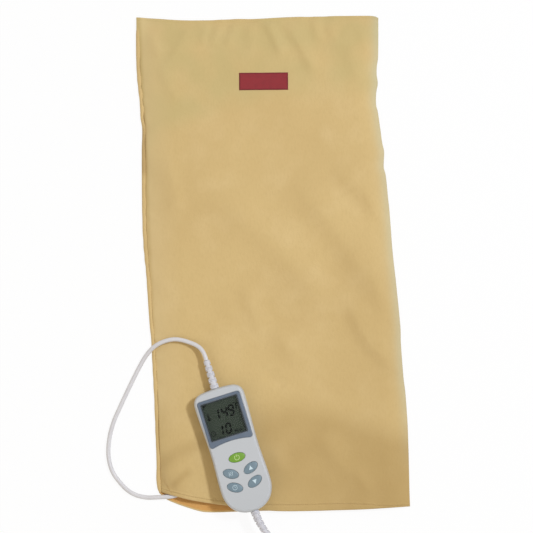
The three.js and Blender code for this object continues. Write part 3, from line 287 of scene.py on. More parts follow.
case_plastic = Finish("case_plastic", (192, 196, 200), 0.36, IOR=1.46)
# Blotches, and darker towards the case's lower end
case_plastic.mottle(11, (193, 195, 199), 0.5, 0.42, 0.7, 2).tint_where("lower_end_darkening", (182, 187, 191), 0.45)
case_plastic.dull(160, 0.34, 0.5).pits(2200, 0.03)
bezel_plastic = Finish("bezel_plastic", (93, 106, 123), 0.36).mottle(60, (108, 120, 136), 0.6)
bezel_plastic.pits(1800, 0.03)
lens_clear = Finish("lens_clear", (26, 31, 28), 0.08, Alpha=0.12).pits(30, 0.01, 0.2, 1)
display_glass = Finish("display_glass", (66, 77, 65), 0.4, Specular_IOR_Level=0.15)
display_glass.mottle(40, (60, 70, 58), 0.6, 0.42, 0.72).pits(120, 0.01, 0.2, 1)
display_ink = Finish("display_ink", (6, 8, 7), 0.6, slot="display_glass", Specular_IOR_Level=0.05)
display_ink.mottle(300, (14, 17, 14))
mask_print = Finish("mask_print", (50, 57, 62), 0.5, slot="dark_plastic", Specular_IOR_Level=0.3)
mask_print.mottle(300, (60, 68, 74)).pits(1800, 0.02)
board_green = Finish("board_green", (40, 98, 62), 0.4)
board_tracks = board_green.bands(120, turn=14.29, distortion=3)
board_green.tint(board_green.spread(board_tracks, **{"From Min": 0.55, "From Max": 0.7}), (60, 124, 80), 0.6)
board_green.relief(board_tracks, 0.05, 0.5)
dark_plastic = Finish("dark_plastic", (40, 41, 44), 0.45).mottle(200, (58, 59, 63)).pits(1600, 0.04)
copper = Finish("copper", (186, 116, 70), 0.32, 1.0).mottle(500, (150, 86, 50), 0.6)
copper.dull(700, 0.25, 0.45).ribs(900, 0.08, 0.5, turn=30)
steel = Finish("steel", (188, 191, 195), 0.3, 1.0).mottle(300, (160, 163, 168))
steel.dull(900, 0.22, 0.42, stretch=(1, 0.1, 1)).pits(1500, 0.02, stretch=(1, 0.1, 1))
brass = Finish("brass", (206, 170, 98), 0.28, 1.0).mottle(250, (176, 138, 70), 0.6)
brass.dull(900, 0.2, 0.42, stretch=(0.1, 1, 1)).pits(1400, 0.02, stretch=(0.1, 1, 1))
key_green = Finish("key_green", (110, 155, 42), 0.45).mottle(90, (120, 163, 58), 0.6).pits(1500, 0.03)
key_blue = Finish("key_blue", (113, 133, 145), 0.45).mottle(90, (125, 145, 156), 0.6).pits(1500, 0.03)
mark_white = Finish("mark_white", (204, 224, 233), 0.5, slot="key_blue").mottle(400, (194, 214, 224))
mark_green = Finish("mark_green", (214, 232, 168), 0.5, slot="key_green").mottle(400, (198, 220, 146))
lead_plastic = Finish("lead_plastic", (216, 215, 218), 0.42).mottle(45, (206, 204, 208), 0.5, 0.42, 0.72)
lead_plastic.pits(1100, 0.03)
strap_weave = Finish("strap_weave", (58, 59, 62), 0.9, slot="strap", Sheen_Weight=0.3)
strap_weave.mottle(420, (84, 85, 89), 0.6).ribs(700, 0.2, turn=60).ribs(700, 0.2, direction="Y", turn=60)

node_finishes = [
    (copper, "heating_wire pad_lead_core_1 pad_lead_core_2 pad_lead_core_3"),
    (copper, "mains_lead_core_1 mains_lead_core_2"),
    (dark_plastic, "thermostat_1 thermostat_2 power_relay controller_chip buzzer"),
    (steel, "thermal_fuse board_fuse case_screw_1 case_screw_2 case_screw_3 case_screw_4"),
    (silicone, "pad_gland key_mat"), (lens_clear, "display_lens"), (display_glass, "display_panel"),
    (vinyl, "display_light_guide"), (board_green, "circuit_board"), (bezel_plastic, "dropper_capacitor"),
    (brass, "plug_blade_narrow plug_blade_wide"),
]
for finish, node_names in node_finishes:
    for node_name in node_names.split():
        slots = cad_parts[node_name].data.materials
        slots.clear()
        slots.append(finish.material)


# Mesh making

def shade_smooth(mesh, sharp):
    """Shades mesh smooth, and sharp where faces meet at more than that angle."""
    mesh.polygons.foreach_set("use_smooth", [True] * len(mesh.polygons))
    mesh.set_sharp_from_angle(angle=math.radians(sharp))


def new_mesh(name, shape, scale=MM):
    points, faces = shape
    mesh = bpy.data.meshes.new(name)
    mesh.from_pydata((np.asarray(points, float) * scale).tolist(), [], faces)
    return mesh


def settle(obj, body, replaced):
    """Gives obj its body, and lets it stand for the replaced nodes."""
    if body:
        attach(obj, body)
    if replaced:
        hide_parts(*replaced.split())


def piece(name, shape, made, body=None, replaced="", sharp=40, scale=MM):
    """Object of that shape and finish, which stands for the replaced nodes."""
    mesh = new_mesh(name, shape, scale)
    mesh.materials.append(made.material)
    shade_smooth(mesh, sharp)
    mesh.update()
    obj = linked(name, mesh)
    settle(obj, body, replaced)
    return obj


def set_values(obj, name, values):
    attribute = obj.data.attributes.new(name, "FLOAT", "POINT")
    attribute.data.foreach_set("value", np.asarray(values, np.float32))


def mesh_points(obj):
    """Points of obj in millimetres."""
    return np.array([vertex.co for vertex in obj.data.vertices]) / MM


def apply_modifiers(obj, sharp):
    bpy.context.view_layer.update()
    evaluated = obj.evaluated_get(bpy.context.evaluated_depsgraph_get())
    obj.data = bpy.data.meshes.new_from_object(evaluated)
    obj.modifiers.clear()
    shade_smooth(obj.data, sharp)


def cut(obj, cutters):
    """Takes the cutters' shapes out of obj."""
    helpers = [linked("cutter", new_mesh("cutter", cutter)) for cutter in cutters]
    for helper in helpers:
        modifier = obj.modifiers.new("cut", "BOOLEAN")
        modifier.operation = "DIFFERENCE"
        modifier.solver = "EXACT"
        modifier.object = helper
    apply_modifiers(obj, 32)
    for helper in helpers:
        bpy.data.objects.remove(helper)


def joined(shapes):
    """Several shapes as one."""
    points = []
    faces = []
    start = 0
    for shape_points, shape_faces in shapes:
        points.append(np.asarray(shape_points, float))
        faces += [tuple(start + i for i in face) for face in shape_faces]
        start += len(shape_points)
    return np.concatenate(points), faces


def wall_faces(rows, count, closed):
    """Faces between rings of equal point count, and from the last ring to the first where closed."""
    faces = []
    for k in range(rows if closed else rows - 1):
        low, high = k * count, (k + 1) % rows * count
        for i in range(count):
            j = (i + 1) % count
            faces.append((low + i, low + j, high + j, high + i))
    return faces


def loft(rings):
    """Closed body through rings of equal point count, with a face at each end."""
    count = len(rings[0])
    last = (len(rings) - 1) * count
    faces = wall_faces(len(rings), count, closed=False)
    faces += [tuple(range(count - 1, -1, -1)), tuple(range(last, last + count))]
    return np.concatenate([np.asarray(ring, float) for ring in rings]), faces


def looped(rings):
    """Closed body through rings that come round to the first."""
    return np.concatenate(rings), wall_faces(len(rings), len(rings[0]), closed=True)


def unit(vectors):
    return vectors / np.linalg.norm(vectors, axis=-1, keepdims=True)


def flat_ring(outline, z):
    return np.column_stack([outline, np.full(len(outline), float(z))])


def flat_rings(rows):
    return [flat_ring(outline, z) for outline, z in rows]


def tube(line, radii, sides):
    """Closed tube along a line, with a section that doesn't twist."""
    line = np.asarray(line, float)
    radii = np.broadcast_to(np.asarray(radii, float), (len(line),)) if np.ndim(radii) < 2 else radii
    tangents = unit(np.gradient(line, axis=0))
    normal = unit(np.cross((0, 0, 1), tangents[0]))
    angles = circle_angles(sides)
    rings = []
    for k, tangent in enumerate(tangents):
        normal = unit(normal - tangent * normal.dot(tangent))
        other = np.cross(tangent, normal)
        ring = np.outer(np.cos(angles), normal) + np.outer(np.sin(angles), other)
        rings.append(line[k] + ring * np.reshape(radii[k], (-1, 1)))
    return loft(rings)


def distances_along(line):
    """Distance of each point of a line from its start."""
    return np.concatenate([[0], np.cumsum(np.linalg.norm(np.diff(line, axis=0), axis=1))])


def smooth_line(points, spacing):
    """Even points along a Catmull-Rom curve through the given ones."""
    points = np.asarray(points, float)
    padded = np.vstack([2 * points[0] - points[1], points, 2 * points[-1] - points[-2]])
    fine = []
    for k in range(1, len(padded) - 2):
        a, b, c, d = padded[k - 1:k + 3]
        t = np.linspace(0, 1, 24, endpoint=False)[:, None]
        fine.append(0.5 * (2 * b + (c - a) * t + (2 * a - 5 * b + 4 * c - d) * t ** 2
                           + (3 * b - a - 3 * c + d) * t ** 3))
    fine = np.vstack([*fine, points[-1:]])
    along = distances_along(fine)
    count = max(int(round(along[-1] / spacing)), 2) + 1
    places = np.linspace(0, along[-1], count)
    return np.column_stack([np.interp(places, along, fine[:, i]) for i in range(3)])


def line_length(line):
    return float(distances_along(line)[-1])


def circle_angles(count):
    return np.linspace(0, full_turn, count, endpoint=False)


def ellipse(half_length, half_width, sides=64):
    angles = circle_angles(sides)
    return np.column_stack([half_length * np.cos(angles), half_width * np.sin(angles)])


def rounded_rectangle(width, length, corner, steps=8):
    points = []
    for side_x, side_y, start in ((1, -1, -90), (1, 1, 0), (-1, 1, 90), (-1, -1, 180)):
        for angle in np.radians(np.linspace(start, start + 90, steps + 1)):
            points.append((
                side_x * (width / 2 - corner) + corner * math.cos(angle),
                side_y * (length / 2 - corner) + corner * math.sin(angle),
            ))
    return np.array(points)


def turned(points, degrees):
    """Points turned about Z."""
    angle = math.radians(degrees)
    cos, sin = math.cos(angle), math.sin(angle)
    points = np.asarray(points, float)
    result = points.copy()
    result[:, 0] = points[:, 0] * cos - points[:, 1] * sin
    result[:, 1] = points[:, 0] * sin + points[:, 1] * cos
    return result


def through(table):
    """Smooth curve through rows of (position, value)."""
    places = np.array([row[0] for row in table], float)
    values = np.array([row[1] for row in table], float)
    before = np.maximum(np.arange(len(table)) - 1, 0)
    after = np.minimum(np.arange(len(table)) + 1, len(table) - 1)
    slopes = (values[after] - values[before]) / (places[after] - places[before])

    def value(position):
        position = np.asarray(position, float)
        k = np.clip(np.searchsorted(places, position) - 1, 0, len(places) - 2)
        step = places[k + 1] - places[k]
        t = np.clip((position - places[k]) / step, 0, 1)
        ease = t * t * (3 - 2 * t)
        bend = t * (1 - t) * ((1 - t) * slopes[k] - t * slopes[k + 1]) * step
        return values[k] + (values[k + 1] - values[k]) * ease + bend
    return value


def rippled(points, scale, depth, seed):
    """Gentle noise height for each point."""
    shift = Vector((seed * 7.3, seed * 3.1, seed))
    return np.array([depth * noise.noise(Vector(p) / scale + shift) for p in points.tolist()])


# Cords: their routes in metres, as the model has them

lead_diameter = 0.006
line_spacing = 0.0025

pad_lead_points = [
    (-0.127, -0.2903, 0.006), (-0.127, -0.2975, 0.006), (-0.129, -0.3074, 0.006), (-0.1346, -0.3159, 0.0058),
    (-0.143, -0.3215, 0.0056), (-0.153, -0.3236, 0.0055), (-0.1645, -0.3238, 0.0053),
    (-0.176, -0.3238, 0.0047), (-0.1875, -0.3232, 0.0034), (-0.2013, -0.3193, 0.0031),
    (-0.2137, -0.3111, 0.0031), (-0.225, -0.2978, 0.0031), (-0.2327, -0.2846, 0.0031),
    (-0.2365, -0.2682, 0.0031), (-0.2364, -0.2517, 0.0031), (-0.2331, -0.2338, 0.0031),
    (-0.2269, -0.2158, 0.0031), (-0.2184, -0.1986, 0.0031), (-0.2088, -0.1802, 0.0031),
    (-0.1982, -0.1606, 0.0031), (-0.1884, -0.1434, 0.0033), (-0.1798, -0.1303, 0.0049),
    (-0.1698, -0.1198, 0.0088), (-0.1599, -0.1138, 0.0129), (-0.1485, -0.1101, 0.0161),
    (-0.1373, -0.1089, 0.0177), (-0.1264, -0.1109, 0.0185), (-0.1178, -0.1141, 0.0194),
    (-0.1096, -0.1179, 0.021), (-0.1029, -0.1229, 0.023), (-0.0987, -0.1286, 0.0247),
    (-0.09607, -0.13512, 0.0256), (-0.09466, -0.14065, 0.0258),
]
mains_run_points = [
    (-0.02193, -0.38234, 0.0258), (-0.01704, -0.38867, 0.0257), (-0.01215, -0.39501, 0.025),
    (-0.00481, -0.4045, 0.0226), (0.00252, -0.414, 0.019), (0.00986, -0.4235, 0.015),
    (0.01719, -0.433, 0.0112), (0.02453, -0.4425, 0.008), (0.03186, -0.452, 0.0057),
    (0.0392, -0.4615, 0.0045), (0.04287, -0.46625, 0.00415), (0.04654, -0.471, 0.0041),
]
mains_tail_points = [
    (0.05424, -0.48098, 0.0239), (0.05791, -0.48573, 0.0238), (0.06503, -0.49304, 0.023),
    (0.07359, -0.49856, 0.0208), (0.08318, -0.50201, 0.0172), (0.09353, -0.50322, 0.0134),
    (0.1015, -0.5033, 0.0104), (0.109, -0.5033, 0.0089), (0.1157, -0.5033, 0.0086),
]

coil_centre = (0.08502, -0.44925)
coil_inner_radius = 0.02725
coil_pitch = 0.0066
coil_low = 0.0041
coil_layers = 4
turns_per_layer = 2.5
climb_turns = 0.5
coil_start = math.radians(217.68)
points_per_turn = 36


def coil_point(turns):
    layer = min(int(turns // turns_per_layer), coil_layers - 1)
    within = turns - layer * turns_per_layer
    from_inner = (turns_per_layer - within if layer % 2 == 0 else within) * coil_pitch
    joint = math.floor(turns / turns_per_layer + 0.5)
    from_joint = turns - joint * turns_per_layer
    climbs = 0 < joint < coil_layers and abs(from_joint) < climb_turns / 2
    height = joint - 0.5 + from_joint / climb_turns if climbs else layer
    angle = coil_start + turns * full_turn
    radius = coil_inner_radius + from_inner
    return (
        coil_centre[0] + radius * math.cos(angle),
        coil_centre[1] + radius * math.sin(angle),
        coil_low + height * coil_pitch,
    )


coil_steps = int(coil_layers * turns_per_layer * points_per_turn)
coil_points = [coil_point(step / points_per_turn) for step in range(coil_steps + 1)]
pad_lead_line = smooth_line(pad_lead_points, line_spacing)
mains_lead_line = smooth_line([*mains_run_points, *coil_points, *mains_tail_points], line_spacing)


def make_lead(name, line, sides, replaced):
    return piece(name, tube(line, lead_diameter / 2, sides), lead_plastic, replaced=replaced, scale=1)


pad_lead = make_lead("pad_lead_cord", pad_lead_line, 20, "pad_lead")
mains_lead = make_lead("mains_lead_cord", mains_lead_line, 16, "mains_lead mains_lead_coil mains_lead_tail")
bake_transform(pad_lead)
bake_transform(mains_lead)


def make_tie():
    """Strap round the coil's turns, lapped on itself."""
    turn, from_middle = 60, 35.5
    width, thickness, clearance, corner = 12.0, 0.8, 0.9, 3.2
    lap_length, lap_inset, lap_corner, lap_top_share = 15, 0.6, 1.6, 0.96
    lap_sunk, lap_edge_height, lap_height = 0.3, 0.35, 0.55
    pitch, diameter = coil_pitch / MM, lead_diameter / MM
    span = turns_per_layer * pitch + diameter + 2 * clearance
    inner_top = coil_low / MM + (coil_layers - 1) * pitch + diameter / 2 + clearance
    path = rounded_rectangle(span + thickness, inner_top, corner) + (0, (thickness + inner_top) / 2)
    profile = [(share * width - width / 2, half)
               for share, half in ((0, 0), (0.06, 0.28), (0.5, 0.4), (0.94, 0.28), (1, 0))]
    rings = []
    for point, normal in zip(path, unit(path - path.mean(axis=0))):
        around = [(point + normal * half, across) for across, half in profile]
        around += [(point - normal * half, across) for across, half in reversed(profile[1:-1])]
        rings.append([(p[0], across, p[1]) for p, across in around])
    top = inner_top + thickness
    lap = rounded_rectangle(lap_length, width - lap_inset, lap_corner, 6)
    tab = loft(flat_rings([
        (lap, top - lap_sunk), (lap, top + lap_edge_height), (lap * lap_top_share, top + lap_height)]))
    points, faces = joined([looped(rings), tab])
    points = turned(points + (from_middle, 0, 0), turn) + (coil_centre[0] / MM, coil_centre[1] / MM, 0)
    return piece("coil_tie_strap", (points, faces), strap_weave, "pad", "coil_tie")


def upright_ring(outline, x):
    return np.column_stack([np.full(len(outline), float(x)), outline])


def make_plug():
    """Moulded body that grows out of the cord's ribbed tail, with a slot for each blade."""
    place = np.array((116, -503.3, 8.6))
    width, height, length, roundness = 25.0, 17.0, 48.0, 0.4
    blade_thickness, blade_from_middle, slot_gap, slot_corner = 1.5, 6.35, 0.3, 0.3
    slot_depth, overrun = 6, 2
    # Shares of its length, width and height
    stations = [
        (0, 0.3, 0.44), (0.02, 0.34, 0.5), (0.05, 0.34, 0.5), (0.065, 0.285, 0.415), (0.135, 0.285, 0.415),
        (0.15, 0.37, 0.54), (0.17, 0.38, 0.56), (0.2, 0.38, 0.56), (0.215, 0.315, 0.465),
        (0.285, 0.315, 0.465), (0.3, 0.44, 0.65), (0.32, 0.46, 0.67), (0.36, 0.47, 0.7), (0.4, 0.58, 0.76),
        (0.45, 0.76, 0.84), (0.5, 0.88, 0.9), (0.55, 0.94, 0.94), (0.6, 0.97, 0.97), (0.62, 0.94, 0.94),
        (0.64, 0.98, 0.98), (0.66, 0.95, 0.95), (0.68, 0.99, 0.99), (0.7, 0.96, 0.96), (0.72, 1, 1),
        (0.94, 1, 1), (0.97, 0.985, 0.98), (0.99, 0.955, 0.94), (1, 0.92, 0.89),
    ]
    rings = []
    for along, across, tall in stations:
        size = (across * width, tall * height)
        rings.append(upright_ring(rounded_rectangle(*size, min(size) * roundness), along * length) + place)
    body = piece("plug_shell", loft(rings), lead_plastic, "pad", "plug_body", sharp=50)
    slots = []
    for side, blade_width in ((-1, 6.35), (1, 7.9)):
        hole = rounded_rectangle(blade_thickness + 2 * slot_gap, blade_width + 2 * slot_gap, slot_corner, 3)
        middle = place + (length, side * blade_from_middle, 0)
        slots.append(loft([upright_ring(hole, x) + middle for x in (-slot_depth, overrun)]))
    cut(body, slots)
    return body


coil_tie = make_tie()
plug = make_plug()


# Place of the hand control on the cover

hand_origin = np.array((-62.003, -263.998, 14.3))
hand_turn = 14.29


# Cover: its outline and heights, as the model has them

cover_width, cover_length = 346.0, 692.0
left_edge = through([
    (-0.46, -0.492), (-0.3, -0.49), (0.04, -0.503), (0.285, -0.491), (0.37, -0.502), (0.51, -0.4935)])
right_edge = through([(-0.512, 0.501), (-0.32, 0.512), (0.087, 0.493), (0.32, 0.474), (0.483, 0.4977)])
top_edge = through([(0, 0.51), (0.25, 0.4965), (0.75, 0.491), (1, 0.483)])
front_mouth = through([
    (0, -0.4588), (0.045, -0.466), (0.13, -0.4785), (0.25, -0.4908), (0.42, -0.502), (0.75, -0.511),
    (1, -0.512)])
back_mouth = through([
    (0, -0.4602), (0.03, -0.47), (0.11, -0.4902), (0.185, -0.5017), (0.41, -0.5062), (0.77, -0.513),
    (1, -0.5122)])
back_thickness, front_thickness = 1.8, 1.6
front_underside = 2.1
plateau = 10.3
left_slope, right_slope, top_slope, mouth_slope = 50, 34, 102, 100
bulge_height, bulge_across, bulge_along = 4.4, -50, 44
bulge_side_reaches, bulge_end_reach = (11, 55), 46
hump_height, hump_reach, hump_slope, hump_share = 8, 28, 12, (0.078, 0.03)
gather_slope = 18
hem_depth, hem_extra = 8.6, 0.9
back_inset = 1.2

# The front's edge inside the rolled seam, except at the top, where it runs over the seam
inset_over_seam, inset_beside_seam = 0.5, 4.8
beside_seam_y, over_seam_y = 292, 326

# Small wanders of the cover's edges, in millimetres outward
left_wander = through([
    (-322, 0.2), (-315, 1.2), (-300, 2.8), (-280, 1.8), (-230, 1.6), (-190, 0.9), (-130, 0), (-105, -0.7),
    (-90, 0), (-12, 0.2), (5, 1.1), (25, 1.8), (60, 2.3), (140, 2.2), (170, 1.8), (192, 0.7), (207, 2.3),
    (222, 0.6), (245, -0.4), (265, 0.4), (300, 1.2), (353, 1.2)])
right_wander = through([
    (-345, 0.6), (-200, 0.7), (-180, -0.3), (-130, 0), (-110, 1.2), (-50, 0.8), (0, 0), (50, 0.9), (80, 0.8),
    (107, 1.1), (118, -0.3), (130, 1.4), (141, 2.9), (152, 1.7), (175, 1.1), (197, 0), (208, -1.6),
    (226, -0.4), (238, 2.2), (252, 0.7), (262, 0.8), (275, 2.3), (290, 2.2), (330, 1.1)])
top_wander = through([
    (0, 0), (0.28, 0.3), (0.42, 0.9), (0.5, 0), (0.62, 0.8), (0.75, 0.3), (0.85, 1.3), (0.95, 2.1),
    (0.985, 1.4), (1, -0.8)])
front_mouth_wander = through([
    (0, 0), (0.28, 0), (0.4, -2), (0.48, -2.8), (0.58, -2.3), (0.7, -1.5), (0.82, -1.2), (1, -0.7)])
back_mouth_wander = through([(0, 0), (0.03, -2.8), (0.06, -2.4), (0.11, -1.1), (0.2, -0.7), (0.3, 0), (1, 0)])

# How far the mouth's hem stitches run from its edge
stitch_depth = through([
    (0, 5.4), (0.22, 5.4), (0.45, 8.6), (0.52, 8.8), (0.72, 8.8), (0.82, 6.8), (0.89, 3.8), (0.94, 2.4),
    (1, 2.2)])

# Folds seen on the front: crest from its top end, height, reach to the right and reach to the left
folds = [
    ([(38, 120), (56, 88), (76, 60), (102, 25), (127, -18), (151, -50), (171, -80), (192, -116), (206, -142)],
     8.0, 34, 22),
    ([(94, 128), (113, 106), (139, 81), (160, 54), (178, 27), (192, 4)], 6.2, 26, 15),
    ([(-110, 116), (-88, 98), (-43, 67), (12, 14), (44, -28), (68, -64), (92, -98)], 5.4, 28, 22),
    ([(102, -60), (109, -76), (117, -96), (125, -116), (136, -133), (151, -147), (166, -161), (180, -174)],
     5.0, 26, 12),
    ([(-44, -34), (-37, -47), (-27, -70), (-17, -102), (-14, -114)], 2.5, 16, 12),
    ([(-64, -46), (-63, -53), (-59, -84)], 1.4, 10, 16),
    ([(0, -96), (5, -104), (17, -127), (30, -149), (36, -160)], 2.5, 16, 13),
    ([(-16, -160), (-11, -166), (5, -178), (12, -184)], -1.6, 8, 8),
    ([(-138, 150), (-135, 135), (-127, 88), (-122, 60)], 2.2, 9, 18),
    ([(50, -250), (58, -258), (76, -281), (94, -306), (100, -318)], 2.6, 16, 12),
    ([(100, -298), (107, -312), (120, -332), (126, -340)], 1.8, 9, 8),
    ([(-10, -262), (-6, -271), (1, -296), (4, -306)], 1.6, 12, 9),
    ([(-121, -283), (-125, -289), (-145, -305), (-152, -312)], 2.4, 6, 6),
    ([(-112, -250), (-118, -255), (-142, -266), (-160, -276)], 1.8, 10, 14),
]

# Short gathers under the top seam, as folds are
gathers = [
    ([(-92, 340), (-96, 334), (-110, 308), (-124, 286), (-132, 274)], 1.6, 11, 8),
    ([(-56, 336), (-57, 329), (-63, 309), (-66, 300)], 1.4, 7, 6),
    ([(-31, 338), (-32, 333), (-41, 311), (-46, 300)], 1.8, 8, 6),
    ([(12, 344), (13, 337), (22, 316), (31, 292), (36, 280)], 3.0, 9, 7),
    ([(40, 335), (47, 323), (62, 294), (73, 267), (80, 250)], 3.2, 12, 8),
    ([(100, 330), (103, 323), (113, 297), (118, 284)], 1.5, 10, 8),
    ([(125, 328), (126, 316), (130, 278), (134, 249), (136, 238)], 1.3, 12, 9),
    ([(-10, 342), (-10, 335), (-9, 300), (-8, 288)], 1.6, 9, 9),
    ([(-71, 344), (-72, 338), (-77, 313), (-80, 302)], 1.2, 7, 7),
    ([(-140, 282), (-136, 272), (-130, 252), (-120, 231), (-116, 222)], 1.4, 10, 8),
    ([(-150, 330), (-148, 318), (-142, 296), (-140, 288)], 1.6, 8, 8),
    ([(80, 338), (81, 330), (86, 308), (89, 298)], 1.4, 7, 6),
    ([(147, 320), (148, 312), (152, 286), (153, 276)], 1.2, 8, 7),
]


def rise(distance, reach):
    return 1 - (1 - np.clip(distance / reach, 0, 1)) ** 2


def smooth(value):
    value = np.clip(value, 0, 1)
    return value * value * (3 - 2 * value)


def ramp(value, start, end):
    """0 before start, 1 past end and smooth between."""
    return smooth((value - start) / (end - start))


def bell(distance, reach):
    return np.exp(-(distance / reach) ** 2)


def fold_height(x, y, crest, height, right_reach, left_reach):
    """Height of one fold at x, y: it fades at its ends, and its two flanks reach differently far."""
    fade_share, fade_start = 0.3, 0.12
    crest = np.asarray(crest, float)
    lengths = np.linalg.norm(np.diff(crest, axis=0), axis=1)
    nearest = np.full(np.shape(x), np.inf)
    place = np.zeros(np.shape(x))
    side = np.zeros(np.shape(x))
    done = 0.0
    for start, end, length in zip(crest[:-1], crest[1:], lengths):
        way = (end - start) / length
        along = (x - start[0]) * way[0] + (y - start[1]) * way[1]
        across = way[0] * (y - start[1]) - way[1] * (x - start[0])
        held = np.clip(along, 0, length)
        away = np.hypot(along - held, across)
        closer = away < nearest
        nearest = np.where(closer, away, nearest)
        place = np.where(closer, (done + held) / lengths.sum(), place)
        side = np.where(closer, np.sign(across), side)
        done += length
    reach = np.where(side > 0, right_reach, left_reach)
    fade = smooth(place / fade_share + fade_start) * smooth((1 - place) / fade_share + fade_start)
    return height * fade * bell(nearest, reach)


def all_folds(table, x, y):
    return sum(fold_height(x, y, *fold) for fold in table)


def from_edge(u, v, width, length):
    """Distance from the nearest edge of a sheet of that size."""
    return np.minimum(np.minimum(u, 1 - u) * width, np.minimum(v, 1 - v) * length)


def cover_left(y):
    return left_edge(y / cover_length) * cover_width - 0.6 * left_wander(y)


def cover_right(y):
    return right_edge(y / cover_length) * cover_width + right_wander(y)


def cover_top(u):
    return top_edge(u) * cover_length + top_wander(u)


def front_low(u):
    return front_mouth(u) * cover_length + front_mouth_wander(u)


def front_left(y):
    """The front's left edge, inside the rolled seam's outer edge: at the top it runs over the seam."""
    beside = ramp(y, over_seam_y, beside_seam_y)
    return cover_left(y) + (inset_over_seam + (inset_beside_seam - inset_over_seam) * beside)


def front_plan(u, v):
    low = front_low(u)
    y = low + (cover_top(u) - low) * v
    left = front_left(y)
    return left + (cover_right(y) - left) * u, y


def front_shares(x, y):
    """Shares u, v of the front at x, y."""
    left = front_left(y)
    u = (x - left) / (cover_right(y) - left)
    low = front_low(u)
    return u, (y - low) / (cover_top(u) - low)


def beside_hand(x, y):
    """Place of x, y along and across the hand control, from its middle."""
    angle = math.radians(hand_turn)
    from_x, from_y = x - hand_origin[0], y - hand_origin[1]
    along = from_y * math.cos(angle) - from_x * math.sin(angle)
    across = from_x * math.cos(angle) + from_y * math.sin(angle)
    return along, across


def front_under(u, v):
    """Underside of the front: a low dome with folds, a hump over the lead and a bulge by the hand control."""
    x, y = front_plan(u, v)
    from_left, from_mouth, from_top = u * cover_width, v * cover_length, (1 - v) * cover_length
    sides = rise(from_left, left_slope) * rise((1 - u) * cover_width, right_slope)
    ends = rise(from_top, top_slope) * (0.5 + 0.5 * rise(from_mouth, mouth_slope))
    height = (plateau + all_folds(folds, x, y)) * sides * ends
    gathered = all_folds(gathers, x, y) * rise(from_top, gather_slope)
    along, across = beside_hand(x, y)
    reach = np.where(across > bulge_across, *bulge_side_reaches)
    bulge = bulge_height * bell(across - bulge_across, reach) * bell(along - bulge_along, bulge_end_reach)
    from_hump = np.hypot((u - hump_share[0]) * cover_width, (v - hump_share[1]) * cover_length)
    hump = hump_height * bell(from_hump, hump_reach) * rise(from_left, hump_slope)
    return front_underside + height + hump + gathered + bulge


def hem_height(u, v):
    """The turned hem at the mouth, with the groove of its stitching."""
    hem_end, hem_slope = 2.6, 1.6
    groove_depth, groove_reach = 0.8, 0.9
    pucker_height, pucker_step, pucker_reach = 0.22, 4.1, 4
    edge_drop, edge_reach = 0.7, 1.6
    depth = v * cover_length
    past_stitches = depth - stitch_depth(u)
    band = hem_extra * smooth((hem_end - past_stitches) / hem_slope)
    groove = groove_depth * bell(past_stitches, groove_reach)
    pucker = pucker_height * np.sin(u * cover_width / pucker_step) * bell(past_stitches, pucker_reach)
    rounded_edge = edge_drop * (1 - rise(depth, edge_reach))
    return band - groove + pucker - rounded_edge


def puckers(share, height, waves, sway, sway_waves):
    """Waves at uneven steps."""
    return height * np.sin(share * waves + sway * np.sin(share * sway_waves))


def seam_height(u, v):
    """Small puckers where the front is gathered into the top and side seams, and the top seam's roll."""
    roll_height, roll_at, roll_reach = 0.7, 1.8, 1.3
    ditch_depth, ditch_at, ditch_reach = 0.8, 4.6, 1.5
    top_reach, side_reach = 22, 9
    from_top = (1 - v) * cover_length
    top = puckers(u, height=0.4, waves=61, sway=2, sway_waves=17) * bell(from_top, top_reach)
    roll = roll_height * bell(from_top - roll_at, roll_reach)
    top += roll - ditch_depth * bell(from_top - ditch_at, ditch_reach)
    left = puckers(v, height=0.55, waves=118, sway=3, sway_waves=23) * bell(u * cover_width, side_reach)
    right = puckers(v, height=0.35, waves=97, sway=2, sway_waves=31)
    return top + left + right * bell((1 - u) * cover_width, side_reach)


def crumple(x, y):
    """Fine unevenness of the cloth."""
    flat = np.column_stack([np.ravel(x), np.ravel(y), np.zeros(np.size(x))])
    wide = rippled(flat, scale=46, depth=0.5, seed=1)
    return (wide + rippled(flat, scale=15, depth=0.16, seed=2)).reshape(np.shape(x))


def front_top(u, v):
    added = hem_height(u, v) + seam_height(u, v) + crumple(*front_plan(u, v))
    return front_under(u, v) + front_thickness + added


arc_line = through([
    (-170, 168), (-159, 173), (-144, 182), (-91, 202), (-30, 219), (27, 230), (112, 230), (175, 230)])
slope_line = through([
    (-60, -205), (-22, -206), (24, -207), (54, -212), (85, -224), (116, -238), (146, -248), (178, -256)])
left_slope_line = through([(-175, -281), (-166, -277), (-142, -265), (-114, -253), (-80, -245), (-60, -240)])


